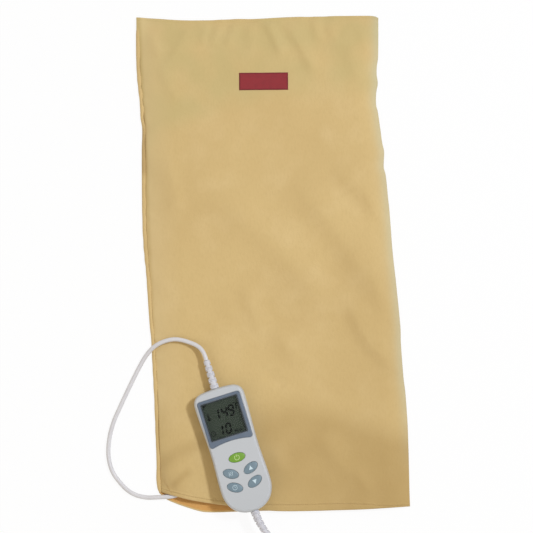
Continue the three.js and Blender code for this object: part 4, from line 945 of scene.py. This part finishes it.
def front_tone_and_painted_light(x, y):
    """Tints of the front at x, y: greenish and darker (the cloth's tone and painted shade), painted shade,
    painted light and a pale painted sheen.
    """
    blotch = rippled(np.column_stack([x, y, np.zeros_like(x)]), scale=34, depth=1, seed=3)
    from_seam = x - front_left(y)
    upper_left = 0.35 + 0.65 * ramp(y, 20, 140)

    # Greenish and darker above the arc line and along the seam: partly the cloth's tone, partly painted shade
    green_and_shaded = smooth((y - arc_line(x)) / 40 + 0.5) * np.clip(0.75 + 0.9 * blotch, 0, 1)
    green_and_shaded = np.clip(green_and_shaded + upper_left * np.exp(-from_seam / 14), 0, 1)

    # Painted shade below the slope lines, towards the right, in a crease at the left and beside the seam
    past = slope_line(x) - y
    painted_dark = smooth(past / 60 + 0.42) * ramp(x, -64, -34) * np.clip(0.52 + 0.14 * blotch, 0, 1)
    painted_dark += 0.1 * bell(past - 18, 13) * ramp(x, -40, -10)
    past = left_slope_line(x) - y
    painted_dark += (0.42 * bell(past - 2, 12) + 0.16 * smooth(past / 30)) * ramp(x, -60, -90)
    painted_dark += 0.2 * ramp(x, 40, 130) * ramp(y, 40, -160)
    painted_dark += 0.4 * fold_height(x, y, [(-121, -285), (-125, -290), (-149, -309), (-154, -314)], 1, 5, 5)
    painted_dark += 0.75 * bell(from_seam, 3.4) * ramp(y, 112, 136) * ramp(y, 232, 206)
    painted_dark += 0.3 * bell(from_seam, 2) * ramp(y, 216, 240) * ramp(y, 318, 298)
    painted_dark += 0.16 * upper_left * np.exp(-from_seam / 11)

    # Painted light along the upper left edge, against its slope's shade, and a pale painted sheen along the
    # right edge
    light = 0.5 * np.clip(1 - (x + 168) / 44, 0, 1) * ramp(y, -240, -180) * ramp(x, -168, -162)
    sheen_paint = bell(cover_right(y) - x, 10) * ramp(y, -330, -170)
    return {"green_tone_and_shade": green_and_shaded, "painted_shade": np.clip(painted_dark, 0, 1), "painted_light": light, "painted_sheen": sheen_paint}


def stepped(*stretches):
    """Rising values, even within each stretch of (start, end, count)."""
    return np.unique(np.concatenate([np.linspace(*stretch) for stretch in stretches]))


def cloth(name, u_rows, v_rows, plan, top, under, made, replaced):
    """Closed cloth over a grid of shares: an upper and a lower face for each cell, and then the edge."""
    u, v = np.meshgrid(u_rows, v_rows)
    flat = [part.ravel() for part in plan(u, v)]
    points = np.vstack([np.column_stack([*flat, side(u, v).ravel()]) for side in (top, under)])
    columns, count = len(u_rows), u.size
    grid = np.arange(count).reshape(u.shape)
    faces = []
    for a in grid[:-1, :-1].ravel().tolist():
        b, c, d = a + 1, a + columns + 1, a + columns
        faces += [(a, b, c, d), (count + a, count + d, count + c, count + b)]
    border = np.concatenate([grid[0], grid[1:, -1], grid[-1, -2::-1], grid[-2:0:-1, 0]]).tolist()
    faces += [(count + a, count + b, b, a) for a, b in zip(border, border[1:] + border[:1])]
    return piece(name, (points, faces), made, "pad", replaced, sharp=70)


def make_front():
    u_rows = stepped((0, 0.06, 14), (0.06, 0.94, 150), (0.94, 1, 12))
    v_rows = stepped((0, 0.02, 22), (0.02, 0.97, 230), (0.97, 1, 12))
    front = cloth("cover_front", u_rows, v_rows, front_plan, front_top, front_under, flannel,
                  "cover_front_panel cover_mouth_band")
    # The front's tone and its painted light and shade, as values on its points
    for name, values in front_tone_and_painted_light(*mesh_points(front)[:, :2].T).items():
        set_values(front, name, values)
    return front


def back_plan(u, v):
    low = back_mouth(u) * cover_length + back_mouth_wander(u)
    y = low + (cover_top(u) - low) * v
    left = cover_left(y) + back_inset
    return left + (cover_right(y) - left) * u, y


def back_top(u, v):
    hem_rise, hem_slope = 0.5, 1.4
    groove_depth, groove_at, groove_reach = 0.45, 6.6, 0.8
    edge_drop, edge_reach = 0.6, 1.4
    depth = v * cover_length
    hem = hem_rise * smooth((hem_depth - depth) / hem_slope)
    groove = groove_depth * bell(depth - groove_at, groove_reach)
    rounded_edge = edge_drop * (1 - rise(depth, edge_reach))
    return back_thickness + hem - groove - rounded_edge


def back_under(u, v):
    edge_rise, edge_reach = 0.5, 2.2
    return edge_rise * (1 - rise(from_edge(u, v, cover_width, cover_length), edge_reach))


def make_back():
    """Back panel: past the hem's first rows its upper side is orange, partly the cloth and partly painted
    shade and warm bounce light inside the mouth; the rest is flannel.
    """
    u_rows = stepped((0, 0.02, 5), (0.02, 0.98, 90), (0.98, 1, 5))
    v_rows = stepped((0, 0.02, 14), (0.02, 0.99, 120), (0.99, 1, 5))
    hem_rows = 2
    back = cloth("cover_back", u_rows, v_rows, back_plan, back_top, back_under, lining, "cover_back_panel")
    row_faces = 2 * (len(u_rows) - 1)
    is_flannel = np.ones(len(back.data.polygons), int)
    is_flannel[hem_rows * row_faces:(len(v_rows) - 1) * row_faces:2] = 0
    back.data.materials.append(hem_flannel.material)
    back.data.polygons.foreach_set("material_index", is_flannel.tolist())
    back.data.update()
    return back


def make_side_seam():
    """Rolled seam at the left, gathered at uneven steps, from the mouth to the top."""
    seam_half_width, seam_half_height, seam_z, from_cover_edge = 3.1, 2.3, 2.35, 3.3
    slack_depth, slack_at, slack_reach = 0.5, 190, 34
    end_share, low_end_steps, high_end_steps = 0.4, 4, 14
    y = np.linspace(back_mouth(0) * cover_length + 1, cover_top(0) - 3, 420)
    angles = -circle_angles(20)
    gather = np.sin(y / 3.7 + 2.1 * np.sin(y / 21)) * (0.5 + 0.5 * np.sin(y / 33 + 1))
    slack = slack_depth * bell(y - slack_at, slack_reach)
    order = np.arange(len(y))
    tapers = np.minimum((order + 1) / low_end_steps, (len(y) - order) / high_end_steps)
    ends = end_share + (1 - end_share) * np.minimum(1, tapers)
    half_width = (seam_half_width + 0.2 * gather - slack) * ends
    half_height = (seam_half_height + 0.25 * gather - slack) * ends
    middle = cover_left(y) + from_cover_edge - 0.35 * left_wander(y)
    rings = [np.column_stack([
        middle[k] + half_width[k] * np.cos(angles),
        np.full(len(angles), y[k]),
        seam_z + half_height[k] * np.sin(angles),
    ]) for k in order]
    seam = piece("cover_side_seam", loft(rings), hem_flannel, "pad", sharp=80)
    # Painted shade on the seam between 118 and 206 mm up, where it lies in shade
    along = mesh_points(seam)[:, 1]
    set_values(seam, "painted_shade", 0.5 * ramp(along, 118, 134) * ramp(along, 206, 182))
    return seam


cover_front = make_front()
cover_back = make_back()
side_seam = make_side_seam()


# Stitches and label

# Places along a stitch as shares of its length, and its rise and radius there as shares of its radius
stitch_place_shares = np.array([0, 0.12, 0.5, 0.88, 1])
stitch_rise_shares = np.array([-0.5, 0.1, 0.45, 0.1, -0.5])
stitch_radius_shares = np.array([0.45, 0.85, 1, 0.85, 0.45])


def stitch_shapes(line, length, pitch, radius):
    """Row of thread stitches along a line, each half sunk in the cloth."""
    along = distances_along(line)
    shapes = []
    for start in np.arange(0.4 * pitch, along[-1] - pitch, pitch):
        places = start + length * stitch_place_shares
        middle = np.column_stack([np.interp(places, along, line[:, i]) for i in range(3)])
        middle[:, 2] += stitch_rise_shares * radius
        shapes.append(tube(middle, radius * stitch_radius_shares, 8))
    return shapes


def stitched_piece(name, shapes, made):
    return piece(name, joined(shapes), made, "pad", sharp=60)


def on_front(x, y):
    """Points on the front's upper side."""
    return np.column_stack([x, y, front_top(*front_shares(x, y))])


def hem_stitches():
    u = np.linspace(0.02, 0.985, 500)
    v = stitch_depth(u) / cover_length
    line = np.column_stack([*front_plan(u, v), front_top(u, v) + 0.15])
    shapes = stitch_shapes(line, length=2.3, pitch=3.1, radius=0.32)
    return stitched_piece("cover_hem_stitches", shapes, thread)


def side_stitches():
    """Stitches beside the rolled seam, and a bar tack where the seam meets the hem."""
    y = np.linspace(-300, 180, 900)
    row = stitch_shapes(on_front(front_left(y) + 0.9, y), length=2.4, pitch=4.3, radius=0.34)
    tack_line = on_front(*np.linspace((-162, -300), (-151, -320), 40).T)
    tack = stitch_shapes(tack_line, length=1.2, pitch=1.7, radius=0.4)
    return stitched_piece("cover_side_stitches", row + tack, seam_thread)


label_turn = -2.6
label_size = (69.0, 25.0)
label_centre = (0.0145 * cover_width, 0.3613 * cover_length - 2)
label_gap, label_edge_height, label_rise, label_slope = 0.12, 0.35, 0.45, 1.2
ridge_height, ridge_inset, ridge_reach = 0.12, 2.4, 0.5


def label_plan(u, v):
    local = np.column_stack([((u - 0.5) * label_size[0]).ravel(), ((v - 0.5) * label_size[1]).ravel()])
    place = turned(local, label_turn) + label_centre
    return place[:, 0].reshape(np.shape(u)), place[:, 1].reshape(np.shape(u))


def label_under(u, v):
    return front_top(*front_shares(*label_plan(u, v))) + label_gap


def label_top(u, v):
    away = from_edge(u, v, *label_size)
    ridge = ridge_height * bell(away - ridge_inset, ridge_reach)
    return label_under(u, v) + label_edge_height + label_rise * rise(away, label_slope) + ridge


def make_label():
    u_rows = np.linspace(0, 1, 93)
    v_rows = np.linspace(0, 1, 49)
    patch = cloth("cover_label_patch", u_rows, v_rows, label_plan, label_top, label_under, label_weave,
                  "cover_label")
    away = from_edge(*np.meshgrid(u_rows, v_rows), *label_size).ravel()
    edge = np.clip((1.7 - away) / 0.8, 0, 1)
    set_values(patch, "edge", np.concatenate([edge, np.ones_like(edge)]))
    return patch


def label_stitches():
    left, right, low, high = 0.022, 0.978, 0.06, 0.94
    shapes = []
    for start, end in (
        ((left, low), (left, high)), ((right, high), (right, low)),
        ((left, high), (right, high)), ((right, low), (left, low)),
    ):
        u, v = np.linspace(start, end, 60).T
        line = np.column_stack([*label_plan(u, v), label_top(u, v) + 0.1])
        shapes += stitch_shapes(line, length=1.5, pitch=2.2, radius=0.2)
    return stitched_piece("cover_label_stitches", shapes, label_thread)


hem_thread = hem_stitches()
side_thread = side_stitches()
label = make_label()
label_thread_rows = label_stitches()


# Heating pad inside the cover: skins with a welded rim, and quilted felts

pad_width, pad_length, pad_y = 300.0, 566.0, 17.0
pad_corner, least_corner = 26, 4
weld_width, weld_z, weld_groove = 8.0, 3.2, 0.25
sheet_thickness, dome_height = 0.8, 8.1
side_rise, end_rise = 27.0, 60.0
upper_insets = [0, 1.2, weld_width - 1, weld_width, 12, 17, 22, 29, 35, 45, 56, 68]
lower_rows = [
    (68, 2.1), (1.2, 2.1), (0, 2.35), (0, 2.65), (1.2, 2.9), (weld_width - 1, 2.9), (weld_width, 2.7),
    (weld_width + 1, 2.9), (68, 2.9),
]


def pad_outline(inset):
    corner = max(pad_corner - inset, least_corner)
    return rounded_rectangle(pad_width - 2 * inset, pad_length - 2 * inset, corner, 10) + (0, pad_y)


def skin_ring(inset, thickness):
    """Ring of the upper sheet, which rises from the weld at its rim as a low dome."""
    outline = pad_outline(inset)
    from_side = pad_width / 2 - np.abs(outline[:, 0]) - weld_width
    from_end = pad_length / 2 - np.abs(outline[:, 1] - pad_y) - weld_width
    dome = dome_height * rise(from_side, side_rise) * rise(from_end, end_rise)
    thinned = 0.5 if inset < 1 else 1
    groove = weld_groove * bell(inset - weld_width, 1.2) if thickness > 0 else 0
    return np.column_stack([outline, weld_z + thickness * thinned + dome - groove])


def pad_skin(name, rings, replaced):
    return piece(name, loft(rings), vinyl, "pad", replaced, sharp=60)


def felt_layer(name, replaced, bevel):
    """A felt node's own shape with eased edges."""
    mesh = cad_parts[replaced].data.copy()
    mesh.name = name
    mesh.materials.clear()
    mesh.materials.append(felt.material)
    obj = linked(name, mesh)
    weld = obj.modifiers.new("weld", "WELD")
    weld.merge_threshold = 0.00001
    easing = obj.modifiers.new("easing", "BEVEL")
    easing.width = bevel * MM
    easing.segments = 2
    easing.limit_method = "ANGLE"
    apply_modifiers(obj, 35)
    settle(obj, "pad", replaced)


upper_rings = [skin_ring(inset, 0) for inset in reversed(upper_insets)]
upper_rings += [skin_ring(inset, sheet_thickness) for inset in upper_insets]
lower_rings = flat_rings((pad_outline(inset), z) for inset, z in lower_rows)
pad_upper = pad_skin("pad_upper_sheet_skin", upper_rings, "pad_upper_sheet")
pad_lower = pad_skin("pad_lower_sheet_skin", lower_rings, "pad_lower_sheet")
felt_layer("pad_lower_felt_layer", "pad_lower_felt", 0.4)
felt_layer("pad_upper_felt_layer", "pad_upper_felt", 0.25)


# Hand control: its own frame, and the case's outline

case_width, case_length, case_height = 71.0, 174.0, 24.0
part_height, case_wall, lip_height, layer_gap = 11.5, 2.2, 1.5, 0.3
upper_edge_inset, lower_edge_inset = 3.6, 5.0
upper_lead_x, lower_lead_x = -1.2, 1.5
well_floor, inside_top, eased_top, past_case = 22.0, 18, 24.05, 26

# Gap round the bezel and the keys, the gap where the opening's rim is eased, and the height where that starts
well_gap, well_eased_gap, well_ease_low = 0.3, 0.6, 23.75
key_gap, key_eased_gap, key_ease_low = 0.35, 0.8, 23.6


def hand_placed(shape):
    points, faces = shape
    return turned(points, hand_turn) + hand_origin, faces


def hand_piece(name, shape, made, body="hand_control", replaced="", sharp=32):
    return piece(name, hand_placed(shape), made, body, replaced, sharp)


def quadratic(start, control, end, t):
    return (1 - t) ** 2 * start + 2 * (1 - t) * t * control + t ** 2 * end


def cubic(start, first, second, end, t):
    return (1 - t) ** 3 * start + 3 * (1 - t) ** 2 * t * first + 3 * (1 - t) * t ** 2 * second + t ** 3 * end


def along_curve(curve, steps, *controls):
    """Points along the curve after its start."""
    t = np.linspace(0, 1, steps + 1)[1:, None]
    return curve(*np.array(controls, float), t)


def case_outline():
    """Outline from the right side's lower end, counterclockwise."""
    rows = [
        (6, (0.25, 1), (0.45, 0.995), (0.62, 0.985)),
        (18, (0.86, 0.965), (1, 0.91), (1, 0.8)),
        (12, (1, 0.52), (0.938, 0.25), (0.941, 0)),
        (10, (0.944, -0.23), (0.986, -0.345), (0.986, -0.575)),
        (26, (0.986, -0.83), (0.62, -1), (0, -1)),
    ]
    right = [(0.0, 1.0)]
    for steps, *controls in rows:
        right.extend(along_curve(cubic, steps, right[-1], *controls))
    right = np.array(right) * (case_width / 2, case_length / 2)
    left = right[1:-1] * (-1, 1)
    return np.vstack([right[::-1], left])


case_edge = case_outline()


def case_ring(inset, z):
    tangents = unit(np.roll(case_edge, -1, axis=0) - np.roll(case_edge, 1, axis=0))
    return flat_ring(case_edge + inset * np.column_stack([-tangents[:, 1], tangents[:, 0]]), z)


# Shares of each wall's inset and height, from the rim to the flat face
upper_wall = [
    (0, 0), (0.01, 0.18), (0.04, 0.34), (0.09, 0.48), (0.17, 0.62), (0.27, 0.745), (0.38, 0.835), (0.5, 0.9),
    (0.62, 0.945), (0.76, 0.975), (0.9, 0.993), (1, 1)]
lower_wall = [
    (0, 0), (0.01, 0.2), (0.04, 0.38), (0.1, 0.54), (0.2, 0.7), (0.32, 0.81), (0.46, 0.89), (0.6, 0.945),
    (0.76, 0.975), (0.9, 0.993), (1, 1)]

# Rims from the inside out: the lower case's tongue stands in the upper case's groove
lip_inset = case_wall / 2
seam_ease = 0.35
lower_rim = part_height - layer_gap
lip_top = part_height + lip_height
groove_top = lip_top + layer_gap
upper_rims = [
    (case_wall, groove_top), (lip_inset, groove_top), (lip_inset, part_height), (seam_ease, part_height),
    (0, part_height + seam_ease)]
lower_rims = [
    (case_wall, lip_top), (lip_inset + layer_gap, lip_top), (lip_inset + layer_gap, lower_rim),
    (seam_ease, lower_rim), (0, lower_rim - seam_ease)]


def case_half(wall, edge_inset, end, rims):
    """Thin-walled shell from the parting line to its flat face at end."""
    toward = 1 if end > part_height else -1
    depth = end - part_height
    inner_depth = depth - toward * case_wall
    outer = [(inset * edge_inset, part_height + depth * share) for inset, share in wall]
    inner = [(inset * edge_inset + case_wall, part_height + inner_depth * share) for inset, share in wall]
    inner_end, outer_end = (inner[-1][0] + 1, inner[-1][1]), (outer[-1][0] + 0.8, outer[-1][1])
    rows = [inner_end, *inner[:0:-1], *rims, *outer[1:], outer_end]
    return loft([case_ring(*row) for row in rows[::toward]])


bezel_middle_x, bezel_half_width = -0.7, 30.25
bezel_top, bezel_bottom = 75.0, 10.0
bezel_corner, bezel_bow = 4.5, 3.2
window_middle = (-1.0, 44.9)
window_size = np.array((52.0, 52.5))


def bezel_outline(grow):
    half = bezel_half_width + grow
    left, right = bezel_middle_x - half, bezel_middle_x + half
    top, bottom = bezel_top + grow, bezel_bottom - grow
    corner = max(bezel_corner + grow, 0.6)
    curves = [
        (20, (left + corner, bottom), (bezel_middle_x, bottom + 2 * bezel_bow), (right - corner, bottom)),
        (8, (right - corner, bottom), (right, bottom), (right, bottom + corner)),
        (8, (right, top - corner), (right, top), (right - corner, top)),
        (8, (left + corner, top), (left, top), (left, top - corner)),
        (8, (left, bottom + corner), (left, bottom), (left + corner, bottom)),
    ]
    points = []
    for steps, *controls in curves:
        if not points or tuple(points[-1]) != controls[0]:
            points.append(controls[0])
        points.extend(along_curve(quadratic, steps, *controls))
    return np.array(points[:-1])


def window_outline(grow):
    return rounded_rectangle(*(window_size + 2 * grow), max(1.5 + grow, 0.3), 6) + window_middle


key_width = 12.0
key_rows = [
    ("key_power", "power_key", (0.0, -11.0), 0.0, 22.8),
    ("key_heat", "heat_key", (-14.45, -29.65), -28.0, 21.4),
    ("key_timer", "timer_key", (-14.45, -48.8), -28.0, 21.4),
    ("key_up", "up_key", (13.7, -29.65), 22.4, 21.4),
    ("key_down", "down_key", (13.7, -48.8), 22.4, 21.4),
]


def key_outline(place, turn, length, grow):
    return turned(ellipse(length / 2 + grow, key_width / 2 + grow, 72), turn) + place


def eased_hole(narrow, wide, heights):
    """Cutter that widens from one outline to the other between the middle two heights, which eases a rim."""
    return loft(flat_rings(zip((narrow, narrow, wide, wide), heights)))


def end_hole(x, side):
    """Cutter for the hole in one end, through which the strain relief comes."""
    radius, inward, overrun = 4.5, 6, 3
    circle = ellipse(radius, radius, 32)
    ring = np.column_stack([x + circle[:, 0], np.zeros(len(circle)), part_height + circle[:, 1]])
    rings = [ring + (0, side * (case_length / 2 + past), 0) for past in (-inward, overrun)]
    return loft(rings if side < 0 else rings[::-1])


# Screw places as shares of the case, and the radius and height of their recesses and bosses
screw_shares = ((0.363, 0.4425), (-0.363, 0.4425), (0.239, -0.408), (-0.239, -0.408))
recess_rows = [(3.2, -1), (3.2, 0), (2.8, 0.4), (2.8, 4)]
boss_rows = [(3.75, 2.1), (3.75, 11.0), (1.6, 11.0), (1.6, 5.4), (2.8, 5.4), (2.8, 2.1)]


def round_rings(rows, middle):
    return [flat_ring(ellipse(radius, radius, 32) + middle, z) for radius, z in rows]


def make_case():
    end_holes = [end_hole(upper_lead_x, 1), end_hole(lower_lead_x, -1)]
    window = window_outline(-1)
    cutters = [
        eased_hole(bezel_outline(well_gap), bezel_outline(well_eased_gap),
                   (well_floor, well_ease_low, eased_top, past_case)),
        loft(flat_rings([(window, inside_top), (window, past_case)])), *end_holes]
    for _, _, *key in key_rows:
        narrow, wide = key_outline(*key, key_gap), key_outline(*key, key_eased_gap)
        cutters.append(eased_hole(narrow, wide, (inside_top, key_ease_low, eased_top, past_case)))
    shell = case_half(upper_wall, upper_edge_inset, case_height, upper_rims)
    upper = hand_piece("hand_control_upper_case", shell, case_plastic, replaced="upper_case")
    cut(upper, [hand_placed(cutter) for cutter in cutters])

    cutters = [*end_holes]
    bosses = []
    for share_x, share_y in screw_shares:
        middle = (share_x * case_width, share_y * case_length)
        cutters.append(loft(round_rings(recess_rows, middle)))
        bosses.append(looped(round_rings(boss_rows, middle)))
    shell = case_half(lower_wall, lower_edge_inset, 0, lower_rims)
    lower = hand_piece("hand_control_lower_case", shell, case_plastic, replaced="lower_case")
    cut(lower, [hand_placed(cutter) for cutter in cutters])
    hand_piece("hand_control_screw_bosses", joined(bosses), case_plastic)
    # Values that darken the case towards its lower end, from 30 mm below its middle
    for obj in (upper, lower):
        along = turned(mesh_points(obj) - hand_origin, -hand_turn)[:, 1]
        set_values(obj, "lower_end_darkening", np.clip(-(along + 30) / 60, 0, 1))


def make_bezel():
    low, high = 22.3, 24.3
    rows = [(0, low), (0, high - 0.5), (-0.15, high - 0.15), (-0.5, high), (-0.9, high)]
    shape = loft([flat_ring(bezel_outline(grow), z) for grow, z in rows])
    bezel = hand_piece("display_bezel_frame", shape, bezel_plastic, replaced="display_bezel")
    heights = (low - 1, high - 0.3, high + 0.05, high + 1)
    cut(bezel, [hand_placed(eased_hole(window_outline(0.3), window_outline(0.65), heights))])


def frame_shape(outer, inner, low, high):
    """Flat frame between two outlines of equal point count."""
    return looped(flat_rings([(outer, low), (outer, high), (inner, high), (inner, low)]))


def make_mask():
    """Dark print round the display, under the lens."""
    gap, inner_inset, low, high = 0.1, 1.5, 23.72, 23.84
    shape = frame_shape(window_outline(-gap), window_outline(-inner_inset), low, high)
    hand_piece("display_mask", shape, mask_print)


make_case()
make_bezel()
make_mask()


# Marks on the display: slanted digits and small signs, printed on the panel under the lens

ink_low, ink_high = 20.02, 20.12
digit_stroke, digit_gap, digit_slant = 2.8, 0.2, 0.12
lit_segments = {"0": "abcdef", "1": "bc", "4": "bcfg", "9": "abcdfg"}

# Each digit with its lower left corner, width and height
digits = [
    ("1", -13.4, 45.7, 6.2, 13.4), ("4", -2.2, 45.7, 6.2, 13.4), ("9", 7.3, 45.7, 6.2, 13.4),
    ("1", -14.3, 23.6, 6.0, 12.8), ("0", -3.2, 23.6, 6.0, 12.8),
]

# Straight strokes of the signs: start, end and width
letter_f = [
    ((18.7, 52.4), (19.5, 60.0), 1.1), ((19.4, 59.6), (22.8, 59.6), 1.0), ((19.1, 56.2), (22.0, 56.2), 1.0)]
word_min = [
    ((8.0, 21.9), (8.3, 26.1), 0.8), ((8.3, 26.1), (9.7, 23.1), 0.7), ((9.7, 23.1), (11.4, 26.1), 0.7),
    ((11.4, 26.1), (11.1, 21.9), 0.8), ((13.0, 21.9), (13.2, 24.7), 0.8), ((13.3, 25.4), (13.4, 26.1), 0.8),
    ((14.9, 21.9), (15.1, 24.8), 0.8), ((15.0, 24.5), (17.0, 24.5), 0.7), ((17.1, 24.7), (16.9, 21.9), 0.8),
]
flag_pole = [((-24.6, 64.2), (-24.2, 69.2), 0.6)]
flag_cloth = [(-24.2, 66.4), (-20.4, 67.0), (-20.2, 69.0), (-24.0, 69.0)]
thermometer_tube = [((-20.9, 50.0), (-21.4, 57.2), 1.5)]
thermometer_lines = [((-19.8, y), (-18.4, y), 0.5) for y in (52.4, 54.2, 56.0)]
clock_middle = (-21.1, 28.6)
clock_hands = [(clock_middle, (-21.1, 30.6), 0.6), (clock_middle, (-19.5, 28.6), 0.6)]


def slab(points):
    return loft(flat_rings([(points, ink_low), (points, ink_high)]))


def digit_shapes(digit, x, y, width, height):
    """Seven-segment digit, slanted to the right."""
    half, t, gap = height / 2, digit_stroke / 2, digit_gap
    level = {"a": height, "g": half, "d": 0.0}
    shapes = []
    for segment in lit_segments[digit]:
        if segment in level:
            across = np.array((t + gap, width - t - gap, width - gap, width - t - gap, t + gap, gap))
            up = level[segment] + np.array((-t, -t, 0, t, t, 0))
        else:
            across = (width if segment in "bc" else 0.0) + np.array((0, t, t, 0, -t, -t))
            low = half if segment in "bf" else 0.0
            up = low + np.array((gap, gap + t, half - gap - t, half - gap, half - gap - t, gap + t))
        shapes.append(slab(np.column_stack([across + digit_slant * up + x, up + y])))
    return shapes


def bars(strokes):
    shapes = []
    for start, end, width in strokes:
        start, end = np.array(start), np.array(end)
        way = unit(end - start)
        side = np.array((-way[1], way[0])) * width / 2
        shapes.append(slab([start - side, end - side, end + side, start + side]))
    return shapes


def hoop(middle, radius, width, sides):
    """Flat ring as one closed body."""
    outer, inner = (ellipse(r, r, sides) + middle for r in (radius + width / 2, radius - width / 2))
    return frame_shape(outer, inner, ink_low, ink_high)


def make_display_marks():
    shapes = []
    for row in digits:
        shapes += digit_shapes(*row)
    shapes += [hoop((17.4, 60.6), 0.9, 0.6, 18), *bars(letter_f + word_min + flag_pole), slab(flag_cloth)]
    shapes += [*bars(thermometer_tube), slab(ellipse(2.2, 2.2, 24) + (-20.8, 48.8)), *bars(thermometer_lines)]
    shapes += [hoop(clock_middle, 3.2, 0.9, 28), *bars(clock_hands)]
    hand_piece("display_marks", joined(shapes), display_ink)


make_display_marks()


# Keys: crowned ovals over a flange and plunger, with a moulded sign on each

cap_top, cap_edge = 24.7, 23.9
flange_low, flange_high, flange_width = 20.5, 21.5, 1.2
plunger_radius, plunger_low = 3, 19.8
crown_drop, crown_dip = 0.7, 0.06
sign_sunk, sign_raised = 0.15, 0.1
crown_shares = (0.985, 0.95, 0.9, 0.83, 0.74, 0.62, 0.48, 0.32, 0.16)


def crown(points, turn, length):
    """Height of a key's top at points in the hand control's direction, from the key's middle."""
    local = turned(points, -turn)
    share = np.hypot(local[:, 0] / (length / 2), local[:, 1] / (key_width / 2))
    return cap_top - crown_drop * share ** 4 - crown_dip * share ** 2


def key_cap(turn, length):
    plunger, wall = ellipse(plunger_radius, plunger_radius), ellipse(length / 2, key_width / 2)
    flange = ellipse(length / 2 + flange_width, key_width / 2 + flange_width)
    rings = flat_rings([
        (plunger, plunger_low), (plunger, flange_low), (flange, flange_low), (flange, flange_high),
        (wall, flange_high), (wall, cap_edge)])
    for share in crown_shares:
        ring = ellipse(length / 2 * share, key_width / 2 * share)
        rings.append(np.column_stack([ring, crown(ring, 0, length)]))
    points, faces = loft(rings)
    return turned(points, turn), faces


def flat_sign(points, *key):
    """Flat outline laid on the crown as a thin body."""
    z = crown(points, *key)
    return loft([np.column_stack([points, z - sign_sunk]), np.column_stack([points, z + sign_raised])])


def line_sign(points, width, *key):
    """Line laid on the crown."""
    z = crown(points, *key)
    return tube(np.column_stack([points, z - width / 2 + sign_raised]), width / 2, 10)


def arc_points(radius, start, stretch):
    angles = np.radians(np.linspace(start, start + stretch, 37))
    return np.column_stack([radius * np.cos(angles), radius * np.sin(angles)])


def key_sign(replaced, *key):
    """Plain sign of each key: power, heat, clock, up and down. key is its turn and length."""
    if replaced == "key_power":
        return [
            line_sign(arc_points(3.3, 115, 310), 1.1, *key),
            line_sign(np.linspace((0, 1.0), (0, 3.9), 6), 1.1, *key),
        ]
    if replaced == "key_heat":
        y = np.linspace(-2.8, 2.8, 18)
        wave = 0.5 * np.sin(y * 1.2)
        return [line_sign(np.column_stack([x + wave, y]), 0.95, *key) for x in (-2.2, 0, 2.2)]
    if replaced == "key_timer":
        return [
            line_sign(arc_points(3.1, 0, 356), 0.95, *key),
            line_sign(np.linspace((0, 0), (0, 2.0), 5), 0.7, *key),
            line_sign(np.linspace((0, 0), (1.4, -0.5), 5), 0.7, *key),
        ]
    side = 1 if replaced == "key_up" else -1
    return [flat_sign(np.array([(-2.9, -2.4), (2.9, -2.4), (0, 3.2)]) * side, *key)]


def make_keys():
    for replaced, body, place, *key in key_rows:
        finishes = (key_green, mark_green) if replaced == "key_power" else (key_blue, mark_white)
        points, faces = key_cap(*key)
        hand_piece(f"{replaced}_cap", (points + (*place, 0), faces), finishes[0], body, replaced, sharp=42)
        points, faces = joined(key_sign(replaced, *key))
        hand_piece(f"{replaced}_sign", (points + (*place, 0), faces), finishes[1], body, sharp=42)


make_keys()


# Strain reliefs: rings and webs by turns, tapering to the lead

relief_start = case_length / 2 + 0.3
relief_diameters = (12, 8.8)
ribs = 8
plain_end = 6.0
groove_depth = 1.35
station_step = 0.35

# Where in a rib's pitch its groove starts, where round it a web starts, and how wide their flanks are
groove_share, web_share, flank_share = 0.48, 0.78, 0.1

# Flange and neck inside the case: place before the case's end, and radius
inner_sections = [(-5.8, 6.5), (-3.8, 6.5), (-3.8, 4.2), (0, 4.2)]

# Rounded far end: distance from it, and how much smaller the radius is
end_rounding = [(1.2, 0), (0.5, 0.15), (0, 0.6)]


def strain_relief(name, replaced, path, length):
    """Ribbed boot along a path of shares 0 to 1."""
    angles = circle_angles(48)
    ribbed = length - plain_end
    pitch = ribbed / ribs

    def radius_at(s):
        return (relief_diameters[0] + (relief_diameters[1] - relief_diameters[0]) * s / length) / 2

    sections = [*inner_sections]
    for s in np.arange(0, ribbed, station_step):
        rib = int(s // pitch)
        within = s / pitch - rib
        groove = smooth((within - groove_share) / flank_share) * smooth((1.0 - within) / flank_share)
        web = smooth((np.abs(np.cos(angles + (rib % 2) * math.pi / 2)) - web_share) / flank_share)
        sections.append((s, radius_at(s) - groove_depth * groove * (1 - web)))
    sections.append((ribbed, radius_at(ribbed)))
    for from_end, less in end_rounding:
        sections.append((length - from_end, radius_at(length - from_end) - less))
    start = path(0)
    outward = np.array((0, math.copysign(1, start[1]), 0))
    line = np.array([start + outward * s if s < 0 else path(s / length) for s, _ in sections])
    radii = np.array([np.broadcast_to(radius, len(angles)) for _, radius in sections])
    hand_piece(name, tube(line, radii, len(angles)), silicone, replaced=replaced, sharp=50)


def upper_relief_path(share):
    return np.array((upper_lead_x, relief_start + 40 * share, part_height))


def lower_relief_path(share):
    controls = ((lower_lead_x, 0), (lower_lead_x, 18.5), (9.5, 37))
    return quadratic(*(np.array((x, -relief_start - y, part_height)) for x, y in controls), share)


lower_length = line_length([lower_relief_path(share) for share in np.linspace(0, 1, 60)])
strain_relief("upper_strain_relief_boot", "upper_strain_relief", upper_relief_path, 40.0)
strain_relief("lower_strain_relief_boot", "lower_strain_relief", lower_relief_path, lower_length)
